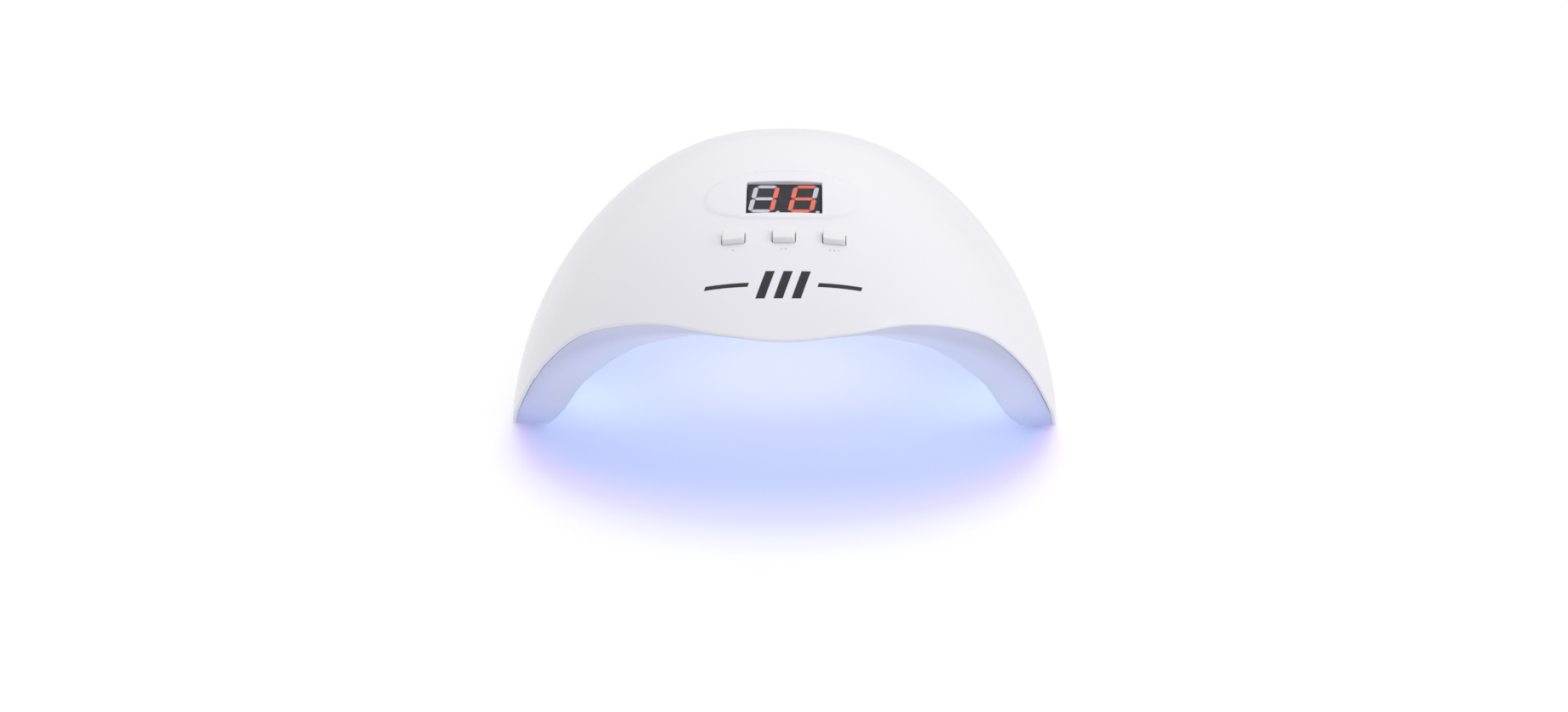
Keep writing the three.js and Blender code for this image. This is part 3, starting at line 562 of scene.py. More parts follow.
def read(data, field):
    """A value of three parts from every item, as rows."""
    values = np.empty(len(data) * 3, np.float32)
    data.foreach_get(field, values)
    return values.reshape(-1, 3)


def shade_exactly(mesh, level, normal):
    """Exact normals on the corners that lie on a known surface, so that its reflections run clean."""
    tolerance = 0.03  # mm off the surface
    shade(mesh)
    points = read(mesh.vertices, "co") / MM
    corner_of = np.empty(len(mesh.loops), np.int32)
    mesh.loops.foreach_get("vertex_index", corner_of)
    normals = read(mesh.corner_normals, "vector").astype(float)
    exact = normal(points)
    near = np.abs(level(points)) < tolerance
    close = near[corner_of] & ((normals * exact[corner_of]).sum(-1) > 0.9)
    normals[close] = exact[corner_of][close]
    mesh.normals_split_custom_set(normals.tolist())
    return mesh


def piece(name, mesh, material, replaces, body="housing"):
    """A finished piece of the lamp, which rides on a CAD body and may stand for CAD nodes."""
    obj = add_object(name, mesh)
    mesh.name = name
    mesh.materials.clear()
    mesh.materials.append(material)
    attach(obj, body)
    if replaces:
        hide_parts(*replaces)


# --- materials


class Nodes:
    """The node tree of a material or a world, with short ways to add to it."""

    def __init__(self, owner, shader="Principled BSDF", place="Object"):
        owner.use_nodes = True
        self.owner = owner
        self.tree = owner.node_tree
        self.shader = self.tree.nodes[shader]
        self.place = self.add("ShaderNodeTexCoord").outputs[place]

    def feed(self, node, inputs):
        """Links or sets a node's inputs."""
        for key, value in inputs.items():
            if isinstance(value, bpy.types.NodeSocket):
                self.tree.links.new(value, node.inputs[key])
            else:
                node.inputs[key].default_value = value

    def add(self, kind, inputs=None, **settings):
        node = self.tree.nodes.new(kind)
        for key, value in settings.items():
            setattr(node, key, value)
        self.feed(node, inputs or {})
        return node

    def shaded(self, **inputs):
        """The material or world, with its shader's inputs linked or set."""
        self.feed(self.shader, {key.replace("_", " "): value for key, value in inputs.items()})
        return self.owner

    def noise(self, scale, detail=4.0, rough=0.5, vector=None):
        inputs = {"Vector": vector or self.place, "Scale": scale, "Detail": detail, "Roughness": rough}
        return self.add("ShaderNodeTexNoise", inputs).outputs["Fac"]

    def ramp(self, fac, stops):
        node = self.add("ShaderNodeValToRGB", {"Fac": fac})
        while len(node.color_ramp.elements) < len(stops):
            node.color_ramp.elements.new(0.5)
        for element, (at, colour) in zip(node.color_ramp.elements, stops):
            element.position = at
            element.color = (*colour, 1)
        return node.outputs["Color"]

    def drift(self, fac, dark, light):
        """A tone that drifts between two colours with a noise."""
        return self.ramp(fac, [(0.3, dark), (0.7, light)])

    def mix(self, fac, a, b, blend_type="MIX"):
        """Two colours mixed."""
        inputs = {0: fac, 6: a, 7: b}
        return self.add("ShaderNodeMix", inputs, data_type="RGBA", blend_type=blend_type).outputs[2]

    def calc(self, operation, a, b=0.0):
        return self.add("ShaderNodeMath", {0: a, 1: b}, operation=operation).outputs[0]

    def range(self, value, low, high, start=0.3, end=0.7):
        inputs = {"Value": value, "From Min": start, "From Max": end, "To Min": low, "To Max": high}
        return self.add("ShaderNodeMapRange", inputs).outputs["Result"]

    def bump(self, height, strength, distance):
        inputs = {"Height": height, "Strength": strength, "Distance": distance}
        return self.add("ShaderNodeBump", inputs).outputs["Normal"]


def shades(colour, amount):
    """A colour a little darker and a little lighter."""
    return [tuple(min(max(c * k, 0), 1) for c in colour) for k in (1 - amount, 1 + amount)]


def moulded(name, colour, rough, vary, vary_scale, grain, depth, strength, coat=0.0, **values):
    """Moulded plastic, lacquer or rubber: a drifting tone, uneven gloss and a fine surface grain."""
    n = Nodes(bpy.data.materials.new(name))
    tone = n.drift(n.noise(vary_scale, 5), *shades(colour, vary))
    gloss = n.range(n.noise(vary_scale * 4, 6), *rough)
    normal = n.bump(n.noise(grain, 2), strength, depth)
    return n.shaded(Base_Color=tone, Roughness=gloss, Normal=normal, Coat_Weight=coat, **values)


def metal(name, colour, rough):
    """Drawn or turned metal with fine streaks."""
    n = Nodes(bpy.data.materials.new(name))
    vector = n.add("ShaderNodeMapping", {"Vector": n.place, "Scale": (400, 400, 30)}).outputs["Vector"]
    streaks = n.noise(12, 6, 0.6, vector)
    tone, gloss = n.drift(streaks, *shades(colour, 0.1)), n.range(streaks, *rough)
    return n.shaded(Base_Color=tone, Roughness=gloss, Normal=n.bump(streaks, 0.1, 0.00002), Metallic=1.0)


def glowing(name, colour, glow, strength, mottle, scale=500):
    """A lit or frosted segment or lens with a slightly uneven glow."""
    n = Nodes(bpy.data.materials.new(name))
    fac = n.noise(scale, 3)
    tone, light = (n.drift(fac, *shades(c, mottle)) for c in (colour, glow))
    gloss = n.range(fac, 0.2, 0.35)
    return n.shaded(Base_Color=tone, Emission_Color=light, Roughness=gloss, Emission_Strength=strength)


def circuit(name):
    """Green solder mask over copper tracks."""
    n = Nodes(bpy.data.materials.new(name))
    cells = {"Vector": n.place, "Scale": 420.0, "Randomness": 0.35}
    node = n.add("ShaderNodeTexVoronoi", cells, feature="DISTANCE_TO_EDGE", distance="MANHATTAN")
    tracks = node.outputs["Distance"]
    tone = n.ramp(tracks, [(0.05, (0.02, 0.13, 0.06)), (0.12, (0.035, 0.2, 0.09))])
    gloss = n.range(n.noise(300), 0.25, 0.45)
    return n.shaded(Base_Color=tone, Roughness=gloss, Normal=n.bump(tracks, 0.3, 0.00004), Coat_Weight=0.3)


def satin(name):
    """Satin white plastic. Its mouth has a painted blue glow and painted shade that deepen towards the feet
    and the lip.
    """
    n = Nodes(bpy.data.materials.new(name))
    place = n.add("ShaderNodeSeparateXYZ", {"Vector": n.place})
    # Painted glow and shade: bluer and darker towards the feet.
    painted_glow_and_shade = n.ramp(n.range(place.outputs["Z"], 0, 1, 0.005, 0.055), [
        (0.0, (0.635, 0.71, 0.945)), (0.55, (0.77, 0.83, 0.98)), (1.0, (0.81, 0.87, 0.96)),
    ])
    # Painted shade: darker out towards the lip.
    flat = n.add("ShaderNodeMapping", {"Vector": n.place, "Scale": (1 / 0.0935, 0, 1 / 0.0545)})
    out = n.add("ShaderNodeVectorMath", {0: flat.outputs["Vector"]}, operation="LENGTH").outputs["Value"]
    across = n.ramp(n.range(out, 0, 1, 0.93, 1.09), [
        (0.0, (1, 1, 1)), (0.5, (0.94, 0.93, 0.985)), (1.0, (0.78, 0.76, 0.82)),
    ])
    away = n.range(place.outputs["Y"], 0, 1, -0.046, -0.03)
    colour = n.mix(away, n.mix(1.0, painted_glow_and_shade, across, "MULTIPLY"), (0.8, 0.81, 0.86, 1))
    patches = n.drift(n.noise(40, 5), (0.98, 0.98, 0.98), (1, 1, 1))
    tone = n.mix(1.0, colour, patches, "MULTIPLY")
    gloss = n.range(n.noise(160, 6), 0.36, 0.46)
    return n.shaded(Base_Color=tone, Roughness=gloss, Normal=n.bump(n.noise(3000, 2), 0.2, 0.00001))


WHITE_GLOSS = moulded("gloss_white", (0.84, 0.832, 0.872), (0.1, 0.16), 0.008, 18, 1400, 0.000004, 0.06, 0.35,
                      Coat_Roughness=0.04)
WHITE_KEY = moulded("key_white", (0.85, 0.845, 0.875), (0.2, 0.28), 0.01, 120, 2500, 0.000006, 0.12)
# The flared base, whose mouth carries painted glow and painted shade.
WHITE_SATIN = satin("satin_white")
WHITE_BOWL = moulded("bowl_white", (0.86, 0.89, 0.97), (0.28, 0.31), 0.008, 40, 2200, 0.00001, 0.15)
BOARD_WHITE = moulded("board_white", (0.8, 0.81, 0.82), (0.3, 0.42), 0.03, 200, 1800, 0.00001, 0.2)
BLACK = moulded("black_plastic", (0.014, 0.014, 0.016), (0.32, 0.48), 0.2, 120, 2600, 0.00002, 0.3)
FACE_DARK = moulded("display_face", (0.034, 0.034, 0.042), (0.55, 0.75), 0.16, 160, 1500, 0.00002, 0.35,
                    Specular_IOR_Level=0.25)
RUBBER_GREY = moulded("rubber_grey", (0.022, 0.022, 0.025), (0.7, 0.9), 0.2, 200, 1500, 0.00005, 0.5)
PRINT_BLACK = moulded("print_black", (0.008, 0.008, 0.011), (0.28, 0.4), 0.15, 300, 3000, 0.000004, 0.2)
PRINT_GREY = moulded("print_grey", (0.62, 0.62, 0.66), (0.3, 0.4), 0.05, 300, 3000, 0.000004, 0.2)
LEAD_RED = moulded("lead_red", (0.32, 0.018, 0.012), (0.4, 0.55), 0.1, 300, 1200, 0.00002, 0.25)
LEAD_BLACK = moulded("lead_black", (0.02, 0.02, 0.022), (0.45, 0.6), 0.15, 300, 1200, 0.00002, 0.25)
CAN_BLUE = moulded("can_blue", (0.016, 0.03, 0.09), (0.25, 0.4), 0.1, 300, 1800, 0.00001, 0.2, 0.4)
CHOKE = moulded("choke_ferrite", (0.03, 0.03, 0.033), (0.55, 0.75), 0.25, 500, 1500, 0.00005, 0.4)
CONNECTOR = moulded("connector_white", (0.72, 0.71, 0.66), (0.35, 0.5), 0.03, 200, 1800, 0.00001, 0.2)
LENS_CLEAR = moulded("lens_clear", (0.75, 0.8, 0.95), (0.04, 0.1), 0.03, 300, 900, 0.000006, 0.1,
                     Transmission_Weight=0.7)
LENS_DARK = moulded("lens_dark", (0.01, 0.008, 0.02), (0.05, 0.12), 0.2, 300, 900, 0.000006, 0.1, 0.5)
STEEL = metal("screw_steel", (0.6, 0.61, 0.63), (0.25, 0.4))
NICKEL = metal("contact_nickel", (0.72, 0.7, 0.64), (0.15, 0.28))
GREEN = circuit("circuit_green")
SEGMENT_LIT = glowing("segment_lit", (0.55, 0.095, 0.05), (0.85, 0.1, 0.055), 0.34, mottle=0.06)
# The unlit segments carry a faint painted glow.
SEGMENT_OFF = glowing("segment_off", (0.58, 0.56, 0.66), (0.5, 0.48, 0.6), 0.02, mottle=0.06)
BEAD_LIT = glowing("bead_lit", (0.7, 0.72, 0.95), (0.62, 0.7, 1.0), 22, mottle=0.15, scale=900)

# --- camera

AIM = Vector((-0.1, -46.25, 1.2)) * MM
ELEVATION = radians(24)
AZIMUTH = radians(0.5)  # the camera stands this far to the lamp's right
DISTANCE = 1.0
LENS = 62.4
AIM_BELOW_CENTRE = radians(1.437)  # the aim point lies this far under the middle of the picture

camera_data = bpy.data.cameras.new("camera")
camera_data.lens = LENS
camera_data.sensor_width = 36
camera_data.clip_end = 50
camera = add_object("camera", camera_data)
level = cos(ELEVATION)
towards = Vector((level * sin(AZIMUTH), -level * cos(AZIMUTH), sin(ELEVATION)))
camera.location = AIM + DISTANCE * towards
camera.rotation_euler = (pi / 2 - ELEVATION + AIM_BELOW_CENTRE, 0, AZIMUTH)
scene.camera = camera

# --- shell


def surface_cutter(outline, x, v, rounding):
    """A cutter through the shell under an outline on the panel, flared so that the hole's edge is rounded."""
    deep = 9.0

    def ring(grow, lift):
        """A ring of the outline, this far over the shell's surface."""
        across, along = (outline(grow) + (x, v)).T
        raised = oval_rise(panel_at(across, along, 0.0))
        return panel_at(across, along, shell_over_panel(across, along) + lift + raised)

    across, along = (outline(0) + (x, v)).T
    rings = [panel_at(across, along, -deep)]
    rings += [ring(rounding * c, -rounding * s) for c, s in quarter_round(4)]
    rings += [ring(rounding * 1.6, 0.6), ring(rounding * 1.6, 4.0)]
    return loft(rings)


def ring_spots(dome, row):
    """Places on the foot ring, at a row's plan angles on both sides and its distance out from a dome."""
    spots = []
    for degrees in row["angles"]:
        spot = moved(dome, dome_point(dome, 1.0, radians(degrees)), row["out"])
        spots += [spot, spot * (-1, 1, 1)]
    return spots


case_spots = ring_spots(SHELL, CASE_SCREWS)
bowl_spots = ring_spots(BOWL, BOWL_SCREWS)
rubber_spots = ring_spots(SHELL, RUBBER_FEET)


def screw_posts(row, low, spots):
    """The posts that take a row's screws, from this height up."""
    return [cylinder(row["post"], low, low + row["tall"], x, y) for x, y, _ in spots]


def screw_holes(spots):
    """Bores up from the table for the screws at these places."""
    return [cylinder(SCREW_BORE, 0, SCREW["length"] + 2.5, x, y) for x, y, _ in spots]


def shell_wall():
    """The bare shell, with its wall thinning towards the lip."""
    us, vs = spread(300, 0.5, 0.17, 2.0), spread(170, 0.26, 0.15, 1.6)
    base = SHELL["base"]
    grid = dome_grid(SHELL, lip_point, us, vs)
    raised = grid + dome_normal(SHELL, grid) * oval_rise(grid)[..., None]
    wall = LIP_WALL + (WALL - LIP_WALL) * np.minimum(vs / LIP_SHARE, 1)
    inner = moved(SHELL, grid, -wall[:, None, None])
    inner[..., 2] = np.where(grid[..., 2] < base + 0.01, base, np.maximum(inner[..., 2], base))
    return rounded_body(raised, inner, 0.7, 0.25)


def shell_posts():
    """The posts that take the case screws and the board's."""
    posts = screw_posts(CASE_SCREWS, RING_TOP + GAP, case_spots)
    for x, v in BOARD_SCREWS:
        top = float(shell_over_panel(x, v)) - 0.8 * WALL
        posts.append(on_panel(cylinder(BOARD_POST, -BOARD_DROP + GAP, top, x, v)))
    return posts


def shell_cutters():
    """What the window, the key holes, the screw holes and the socket's hole take away."""
    width, length = (DISPLAY[k] + 2 * DISPLAY["margin"] for k in ("width", "length"))
    cutters = [surface_cutter(growing_rect(width, length, 0.3, (30, 24)), 0, 0, 0.3)]
    clear = BUTTON["clear"]
    width, length = (BUTTON[k] + 2 * clear for k in ("width", "length"))
    key = growing_rect(width, length, BUTTON["corner"] + clear, (12, 8))
    for side in (-1, 0, 1):
        cutters.append(surface_cutter(key, side * BUTTON["pitch"], BUTTON["v"], 0.25))
    for x, v in BOARD_SCREWS:
        cutters.append(on_panel(cylinder(SCREW_BORE, -BOARD_DROP - 1, -BOARD_DROP + 4, x, v)))
    nose = JACK["nose"] + GAP
    hole = turned([(nose, -6), (nose, -0.35), (nose + 0.5, 0.15), (nose + 0.5, 6)], 64)
    return [*cutters, *screw_holes(case_spots), along_y(hole, BACK_Y)]


def outer_shell():
    """The shell with its posts and holes, shaded by its exact normals."""
    mesh = cut(cut(shell_wall(), shell_posts(), "UNION"), shell_cutters())

    def level(p):
        field = measure(SHELL, p)[2] / np.linalg.norm(slope(lambda q: measure(SHELL, q)[2], p), axis=-1)
        return field - oval_rise(p)

    return shade_exactly(mesh, level, shell_normal)


piece("shell", outer_shell(), WHITE_GLOSS, ["outer_shell"])

# --- base frame


def flare_grid(us, ts):
    """The mouth's flared surface, which sags a little between the shell's lip and the bowl's arch."""
    lean = FLARE["lip"] / 2 * np.sin(pi * us) ** 4  # the edge leans towards the shell in the middle only
    inside = LIP_WALL + SEAM + lean
    start = moved(SHELL, lip_point(us), -inside[:, None]) + (0, FLARE["recess"], 0)
    end = moved(BOWL, arch_point(us), -FLARE["lap"])
    pull = start + (end - start) * FLARE["sag_at"]
    pull[:, 2] -= FLARE["sag"] * np.sin(pi * us)
    t = ts[:, None, None]
    grid = start * (1 - t) ** 2 + 2 * pull * t * (1 - t) + end * t**2
    grid[:, [0, -1], 2] = SHELL["base"]
    return grid


def flare_back(grid, ts):
    """The flare's hidden side."""
    along = np.gradient(grid, axis=1)
    back = np.gradient(grid, axis=0)
    away = unit(np.cross(along, back))
    thick = FLARE["lip"] + (FLARE["wall"] - FLARE["lip"]) * ts
    hidden = grid + away * thick[:, None, None]
    hidden[:, [0, -1], 2] = SHELL["base"]
    return hidden


def foot_ring():
    """The flat ring between the shell's and the bowl's base lines, open towards the mouth."""
    foot = measure(SHELL, lip_point(np.array([1.0])))[1][0]
    angles = foot + np.linspace(0, 1, 181) * (pi - 2 * foot)
    outer = moved(SHELL, dome_point(SHELL, 1.0, angles), -(WALL + GAP + 0.2))
    inner = moved(BOWL, dome_point(BOWL, 1.0, angles), -0.4)
    for edge in (outer, inner):
        edge[[0, -1], 1] = FRONT_Y
        edge[:, 1] = np.maximum(edge[:, 1], FRONT_Y)
    rings = []
    for o, i in zip(outer, inner):
        rings.append([(*o[:2], FOOT_STAND), (*o[:2], RING_TOP), (*i[:2], RING_TOP), (*i[:2], FOOT_STAND)])
    return loft([np.array(r) for r in rings])


def base_frame():
    """The flare, the foot ring and the socket's holder, with seats for the screws and the rubber feet."""
    us, ts = spread(300), np.linspace(0, 1, 19)
    flare = flare_grid(us, ts)
    mesh = rounded_body(flare_back(flare, ts), flare, 0.15, 0.3, 3, 3)
    mesh = cut(mesh, [foot_ring()], "UNION")
    thick, x = 1.6, JACK["width"] / 2 + GAP + 0.8
    low, high = FOOT_STAND + 0.5, JACK_Z + 2
    walls = [box_mesh(thick, JACK["length"] - 4, low, high, side * x, JACK_Y) for side in (-1, 1)]
    mesh = cut(mesh, walls, "UNION")
    seat, bore, deep = SCREW["head"] + GAP, SCREW["shank"] + GAP, FOOT_STAND + SCREW["sunk"] + 0.15
    profile = [(seat + 0.3, 0), (seat + 0.3, FOOT_STAND), (seat, FOOT_STAND + 0.3), (seat, deep)]
    profile += [(bore, deep), (bore, RING_TOP + 1)]
    cutters = [turned(profile, 32, (x, y, 0)) for x, y, _ in case_spots + bowl_spots]
    r, deep = RUBBER["radius"] + 0.3, FOOT_STAND + RUBBER["sunk"] + 0.3
    cutters += [cylinder(r, 0, deep, x, y, 40) for x, y, _ in rubber_spots]
    return shade(cut(mesh, cutters))


piece("flared_base", base_frame(), WHITE_SATIN, ["base_frame"])

# --- reflector bowl and its beads


def led_frame(share, degrees):
    """A board's own frame, with z out of the bowl and its origin on the bowl's visible face."""
    origin = dome_point(BOWL, float(share), radians(degrees))
    out = dome_normal(BOWL, origin)
    along = np.array([1.0, 0, 0]) if share == 0 else unit(np.array([-out[1], out[0], 0]))
    across = np.cross(out, along)
    basis = Matrix(np.column_stack([along, across, out]).tolist()).to_4x4()
    return Matrix.Translation(Vector(origin) * MM) @ basis


def bead_spots(rows, columns):
    """Where a board's beads are, along it and across it."""
    return [
        ((i - (columns - 1) / 2) * BEAD["pitch"], (j - (rows - 1) / 2) * BEAD["pitch"])
        for j in range(rows)
        for i in range(columns)
    ]


def board_half(columns):
    """Half the length of a board with this many columns of beads."""
    return (columns - 1) / 2 * BEAD["pitch"] + LED_PLATE["ends"]


def peg_places(columns):
    """How far along a board its two pegs stand."""
    reach = board_half(columns) - LED_PLATE["peg_in"]
    return -reach, reach


def in_frame(mesh, place):
    mesh.transform(place)
    return mesh


def bowl_wall():
    """The bare bowl, cut off level at its base and along the arch in front."""
    start = bisect(lambda t: arch_curve(t)[..., 1] < BOWL_BASE - BOWL["base"], 0.0, 0.5)

    def edge(u):
        t = start + (1 - 2 * start) * u
        shift = BOWL_EDGE["back"] + BOWL_EDGE["feet"] * np.cos(pi * t) ** 2
        return arch_point(t) + stacked(0, shift, 0)

    grid = dome_grid(BOWL, edge, spread(170), spread(100), BOWL_BASE - BOWL["base"])
    hidden = moved(BOWL, grid, BOWL_WALL)
    hidden[..., 2] = np.maximum(hidden[..., 2], BOWL_BASE)
    hidden[-1, :, 2] = hidden[:, 0, 2] = hidden[:, -1, 2] = BOWL_BASE
    visible = grid.copy()
    visible[..., 2] = np.maximum(visible[..., 2], BOWL_BASE)
    return rounded_body(hidden, visible, 0.3, 0.3, 2, 4)


def reflector_bowl():
    """The bowl with its screw posts, the boards' pegs, and holes for the beads and the sensor."""
    posts = screw_posts(BOWL_SCREWS, BOWL_BASE, bowl_spots)
    cutters = screw_holes(bowl_spots)
    shoulder, tip = LED_LOW - GAP, LED_HIGH + 0.9
    r, foot = LED_PLATE["peg"], LED_PLATE["foot"]
    peg = [(0, BOWL_WALL / 2), (foot, BOWL_WALL / 2), (foot, shoulder), (r, shoulder)]
    peg += [(r, LED_HIGH + 0.5), (r - 0.4, tip), (0, tip)]
    r = BEAD["hole"]
    hole = [(r + 0.6, -3), (r + 0.6, -0.6), (r + 0.3, 0.1), (r, 0.6), (r, 6)]
    for share, degrees, rows, columns in LED_BOARDS.values():
        place = led_frame(share, degrees)
        posts += [in_frame(turned(peg, 24, (x, 0, 0)), place) for x in peg_places(columns)]
        cutters += [in_frame(turned(hole, 40, (x, y, 0)), place) for x, y in bead_spots(rows, columns)]
    for x in (-SENSOR["apart"], SENSOR["apart"]):
        z = height_at(BOWL, x, SENSOR["y"])
        cutters.append(cylinder(SENSOR["radius"] + 0.4, z - 7, z + 7, x, SENSOR["y"]))
    return shade(cut(cut(bowl_wall(), posts, "UNION"), cutters))


piece("reflector", reflector_bowl(), WHITE_BOWL, ["reflector_bowl"])


def led_board(rows, columns):
    """A board plate with its peg holes and the square package under each bead."""
    wide, side = LED_PLATE["wide"] + (rows - 1) * BEAD["pitch"], LED_PLATE["package"]
    plate = slab(growing_rect(2 * board_half(columns), wide, LED_PLATE["corner"]), LED_LOW, LED_HIGH, 0.1)
    plate = cut(plate, [cylinder(1.5, LED_LOW - 1, LED_HIGH + 1, x) for x in peg_places(columns)])
    low = LED_LOW - BEAD["base_high"] + 0.2
    packages = [box_mesh(side, side, low, LED_LOW, x, y, 0.2) for x, y in bead_spots(rows, columns)]
    return shade(joined([plate, *packages]))


def bead_lenses(rows, columns):
    """The round lens of every bead on a board."""
    r = BEAD["radius"]
    profile = round_edge(r, LED_LOW - BEAD["base_high"] - r)
    profile += [(r, LED_LOW - 0.3), (r - 0.25, LED_LOW), (0, LED_LOW)]
    return shade(joined([turned(profile, 32, (x, y, 0)) for x, y in bead_spots(rows, columns)]))


for name, (share, degrees, rows, columns) in LED_BOARDS.items():
    where = led_frame(share, degrees)
    node = f"led_board_{name}"
    plate, lenses = (in_frame(make(rows, columns), where) for make in (led_board, bead_lenses))
    piece(f"led_plate_{name}", plate, BOARD_WHITE, [node])
    piece(f"beads_{name}", lenses, BEAD_LIT, [node])

# --- display and buttons

FACE = -DISPLAY["recess"]


def display_body():
    """The display's block on its two rows of pins."""
    back = FACE - DISPLAY["depth"]
    body = box_mesh(DISPLAY["width"], DISPLAY["length"], back, FACE, edge=0.2)
    low, pitch, pins = back - DISPLAY["stand"] + GAP, 2.54, []
    for v in (-7.6, 7.6):
        pins += [box_mesh(0.6, 0.6, low, back + 0.5, pitch * k, v, 0.08) for k in range(-2, 3)]
    return on_panel(shade(cut(body, pins, "UNION")))


piece("display_body", display_body(), FACE_DARK, ["display_module"])

DIGIT = dict(width=7.6, height=16.0, slant=0.13, thick=1.65, flat=1.85, gap=0.26, v=0.6, xs=(-7.25, 6.85))
LIT = {0: "bc", 1: "acdefg"}


def bar(x0, v0, x1, v1, thick, gap):
    """A bar with pointed ends between two corners of a digit."""
    along = unit(np.array([x1 - x0, v1 - v0], float))
    side = np.array([-along[1], along[0]]) * thick / 2
    a, b = np.array([x0, v0]) + along * gap, np.array([x1, v1]) - along * gap
    tip = along * thick / 2
    return np.array([a, a + tip - side, b - tip - side, b, b - tip + side, a + tip + side])


def segments(x):
    """The seven bars of a digit as outlines in the panel's plane, sheared to lean right."""
    w, h = DIGIT["width"] / 2, DIGIT["height"] / 2
    lines = dict(a=(-w, h, w, h), b=(w, h, w, 0), c=(w, 0, w, -h), d=(-w, -h, w, -h), e=(-w, 0, -w, -h),
                 f=(-w, h, -w, 0), g=(-w, 0, w, 0))
    made = {}
    for key, line in lines.items():
        outline = bar(*line, DIGIT["flat"] if key in "adg" else DIGIT["thick"], DIGIT["gap"])
        outline[:, 0] += outline[:, 1] * DIGIT["slant"] + x
        outline[:, 1] += DIGIT["v"]
        made[key] = outline
    return made


def plate_of(outline):
    """A bar or a dot that stands a little proud of the display's face."""
    return loft([at_height(outline, z) for z in (FACE - 0.2, FACE + 0.04)])


def digit(number):
    """The lit and the unlit pieces of a digit, with its point."""
    lit, unlit = [], []
    for key, outline in segments(DIGIT["xs"][number]).items():
        (lit if key in LIT[number] else unlit).append(plate_of(outline))
    turn = np.linspace(0, TAU, 24, endpoint=False)
    x, v = DIGIT["xs"][number] + 5.0, -8.1
    unlit.append(plate_of(stacked(x + 0.75 * np.cos(turn), v + 0.75 * np.sin(turn))))
    return on_panel(shade(joined(lit))), on_panel(shade(joined(unlit)))


for number, side in ((0, "left"), (1, "right")):
    lit, unlit = digit(number)
    piece(f"digit_lit_{side}", lit, SEGMENT_LIT, [])
    piece(f"digit_unlit_{side}", unlit, SEGMENT_OFF, [])


def button_cap(side):
    """A key with a soft top edge that follows the shell, its skirt and the stem that reaches the switch."""
    x0 = side * BUTTON["pitch"]
    top = float(shell_over_panel(x0, BUTTON["v"]))
    low = top - WALL - SKIRT["drop"]
    edge = 0.35
    outline = growing_rect(BUTTON["width"], BUTTON["length"], BUTTON["corner"], (6, 4), 8, 0.3)

    def at(grow, lift):
        flat = outline(grow)
        tilt = BUTTON["slope"] * flat[:, 1] - side * BUTTON["roll"] * flat[:, 0]
        return at_height(flat, top + BUTTON["proud"] + tilt + lift)

    rings = [at_height(outline(0), low)]
    rings += [at(-edge * c, -edge * s) for c, s in quarter_round(6)]
    rings += [at(-edge - 0.6, 0.02), at(-edge - 1.6, 0.05)]
    width, length = (BUTTON[k] + 2 * SKIRT["wide"] for k in ("width", "length"))
    skirt = box_mesh(width, length, low - SKIRT["thick"], low + 0.05, edge=0.2)
    stem = box_mesh(3, 3, -BOARD_DROP + SWITCH_TOP + GAP, low, edge=0.2)
    mesh = cut(cut(loft(rings), [skirt], "UNION"), [stem], "UNION")
    return on_panel(stood(shade(mesh), (x0, BUTTON["v"], 0)))


for side, name in ((-1, "left"), (0, "middle"), (1, "right")):
    cap = button_cap(side)
    piece(f"key_{name}", cap, WHITE_KEY, [f"button_cap_{name}"], f"button_{name}")

# --- print


def decal(outline, step=0.5):
    """A thin printed shape that lies on the shell, from a four-sided outline on the panel."""
    lift, under = 0.03, -0.02  # its face over the shell, and its back inside it
    a, b, c, d = (np.array(p, float) for p in outline)

    def stops(one, other):
        parts = max(int(max(np.linalg.norm(one), np.linalg.norm(other)) / step), 2)
        return np.linspace(0, 1, parts + 1)

    u, v = stops(b - a, c - d)[None, :, None], stops(d - a, c - b)[:, None, None]
    flat = between(a, b, c, d, u, v)
    base = panel_at(flat[..., 0], flat[..., 1], shell_over_panel(flat[..., 0], flat[..., 1]))
    normal = dome_normal(SHELL, base)
    return rounded_body(base + normal * lift, base + normal * under, 0.01, 0.0, 1, 1)


def leaning(x, v, wide, tall, lean):
    """A bar that leans to the right, as a four-sided outline round its middle."""
    w, h, shift = wide / 2, tall / 2, lean / 2
    low, high = x - shift, x + shift
    return [(low - w, v - h), (low + w, v - h), (high + w, v + h), (high - w, v + h)]


def printed_mark():
    """A plain ornament: three leaning bars between two lines."""
    v, bar_pitch, line_at = -46.3, 6.2, 19.5
    shapes = [leaning(k * bar_pitch, v, 3.2, 11.5, 3.4) for k in (-1, 0, 1)]
    shapes += [leaning(side * line_at, v, 15.0, 1.7, 0.5) for side in (-1, 1)]
    return shade(joined([decal(s) for s in shapes]), 60)


def key_dots():
    """One, two and three small printed dots below the keys."""
    pitch, below, size = 1.5, 6.2, 0.7
    spots = []
    for count, side in ((1, -1), (2, 0), (3, 1)):
        for k in range(count):
            x = side * BUTTON["pitch"] + pitch * (k - (count - 1) / 2)
            spots.append(leaning(x, BUTTON["v"] - below, size, size, 0))
    return shade(joined([decal(s, step=0.2) for s in spots]), 60)


piece("printed_mark", printed_mark(), PRINT_BLACK, [])
piece("key_dots", key_dots(), PRINT_GREY, [])

# --- socket, bulbs, screws and feet


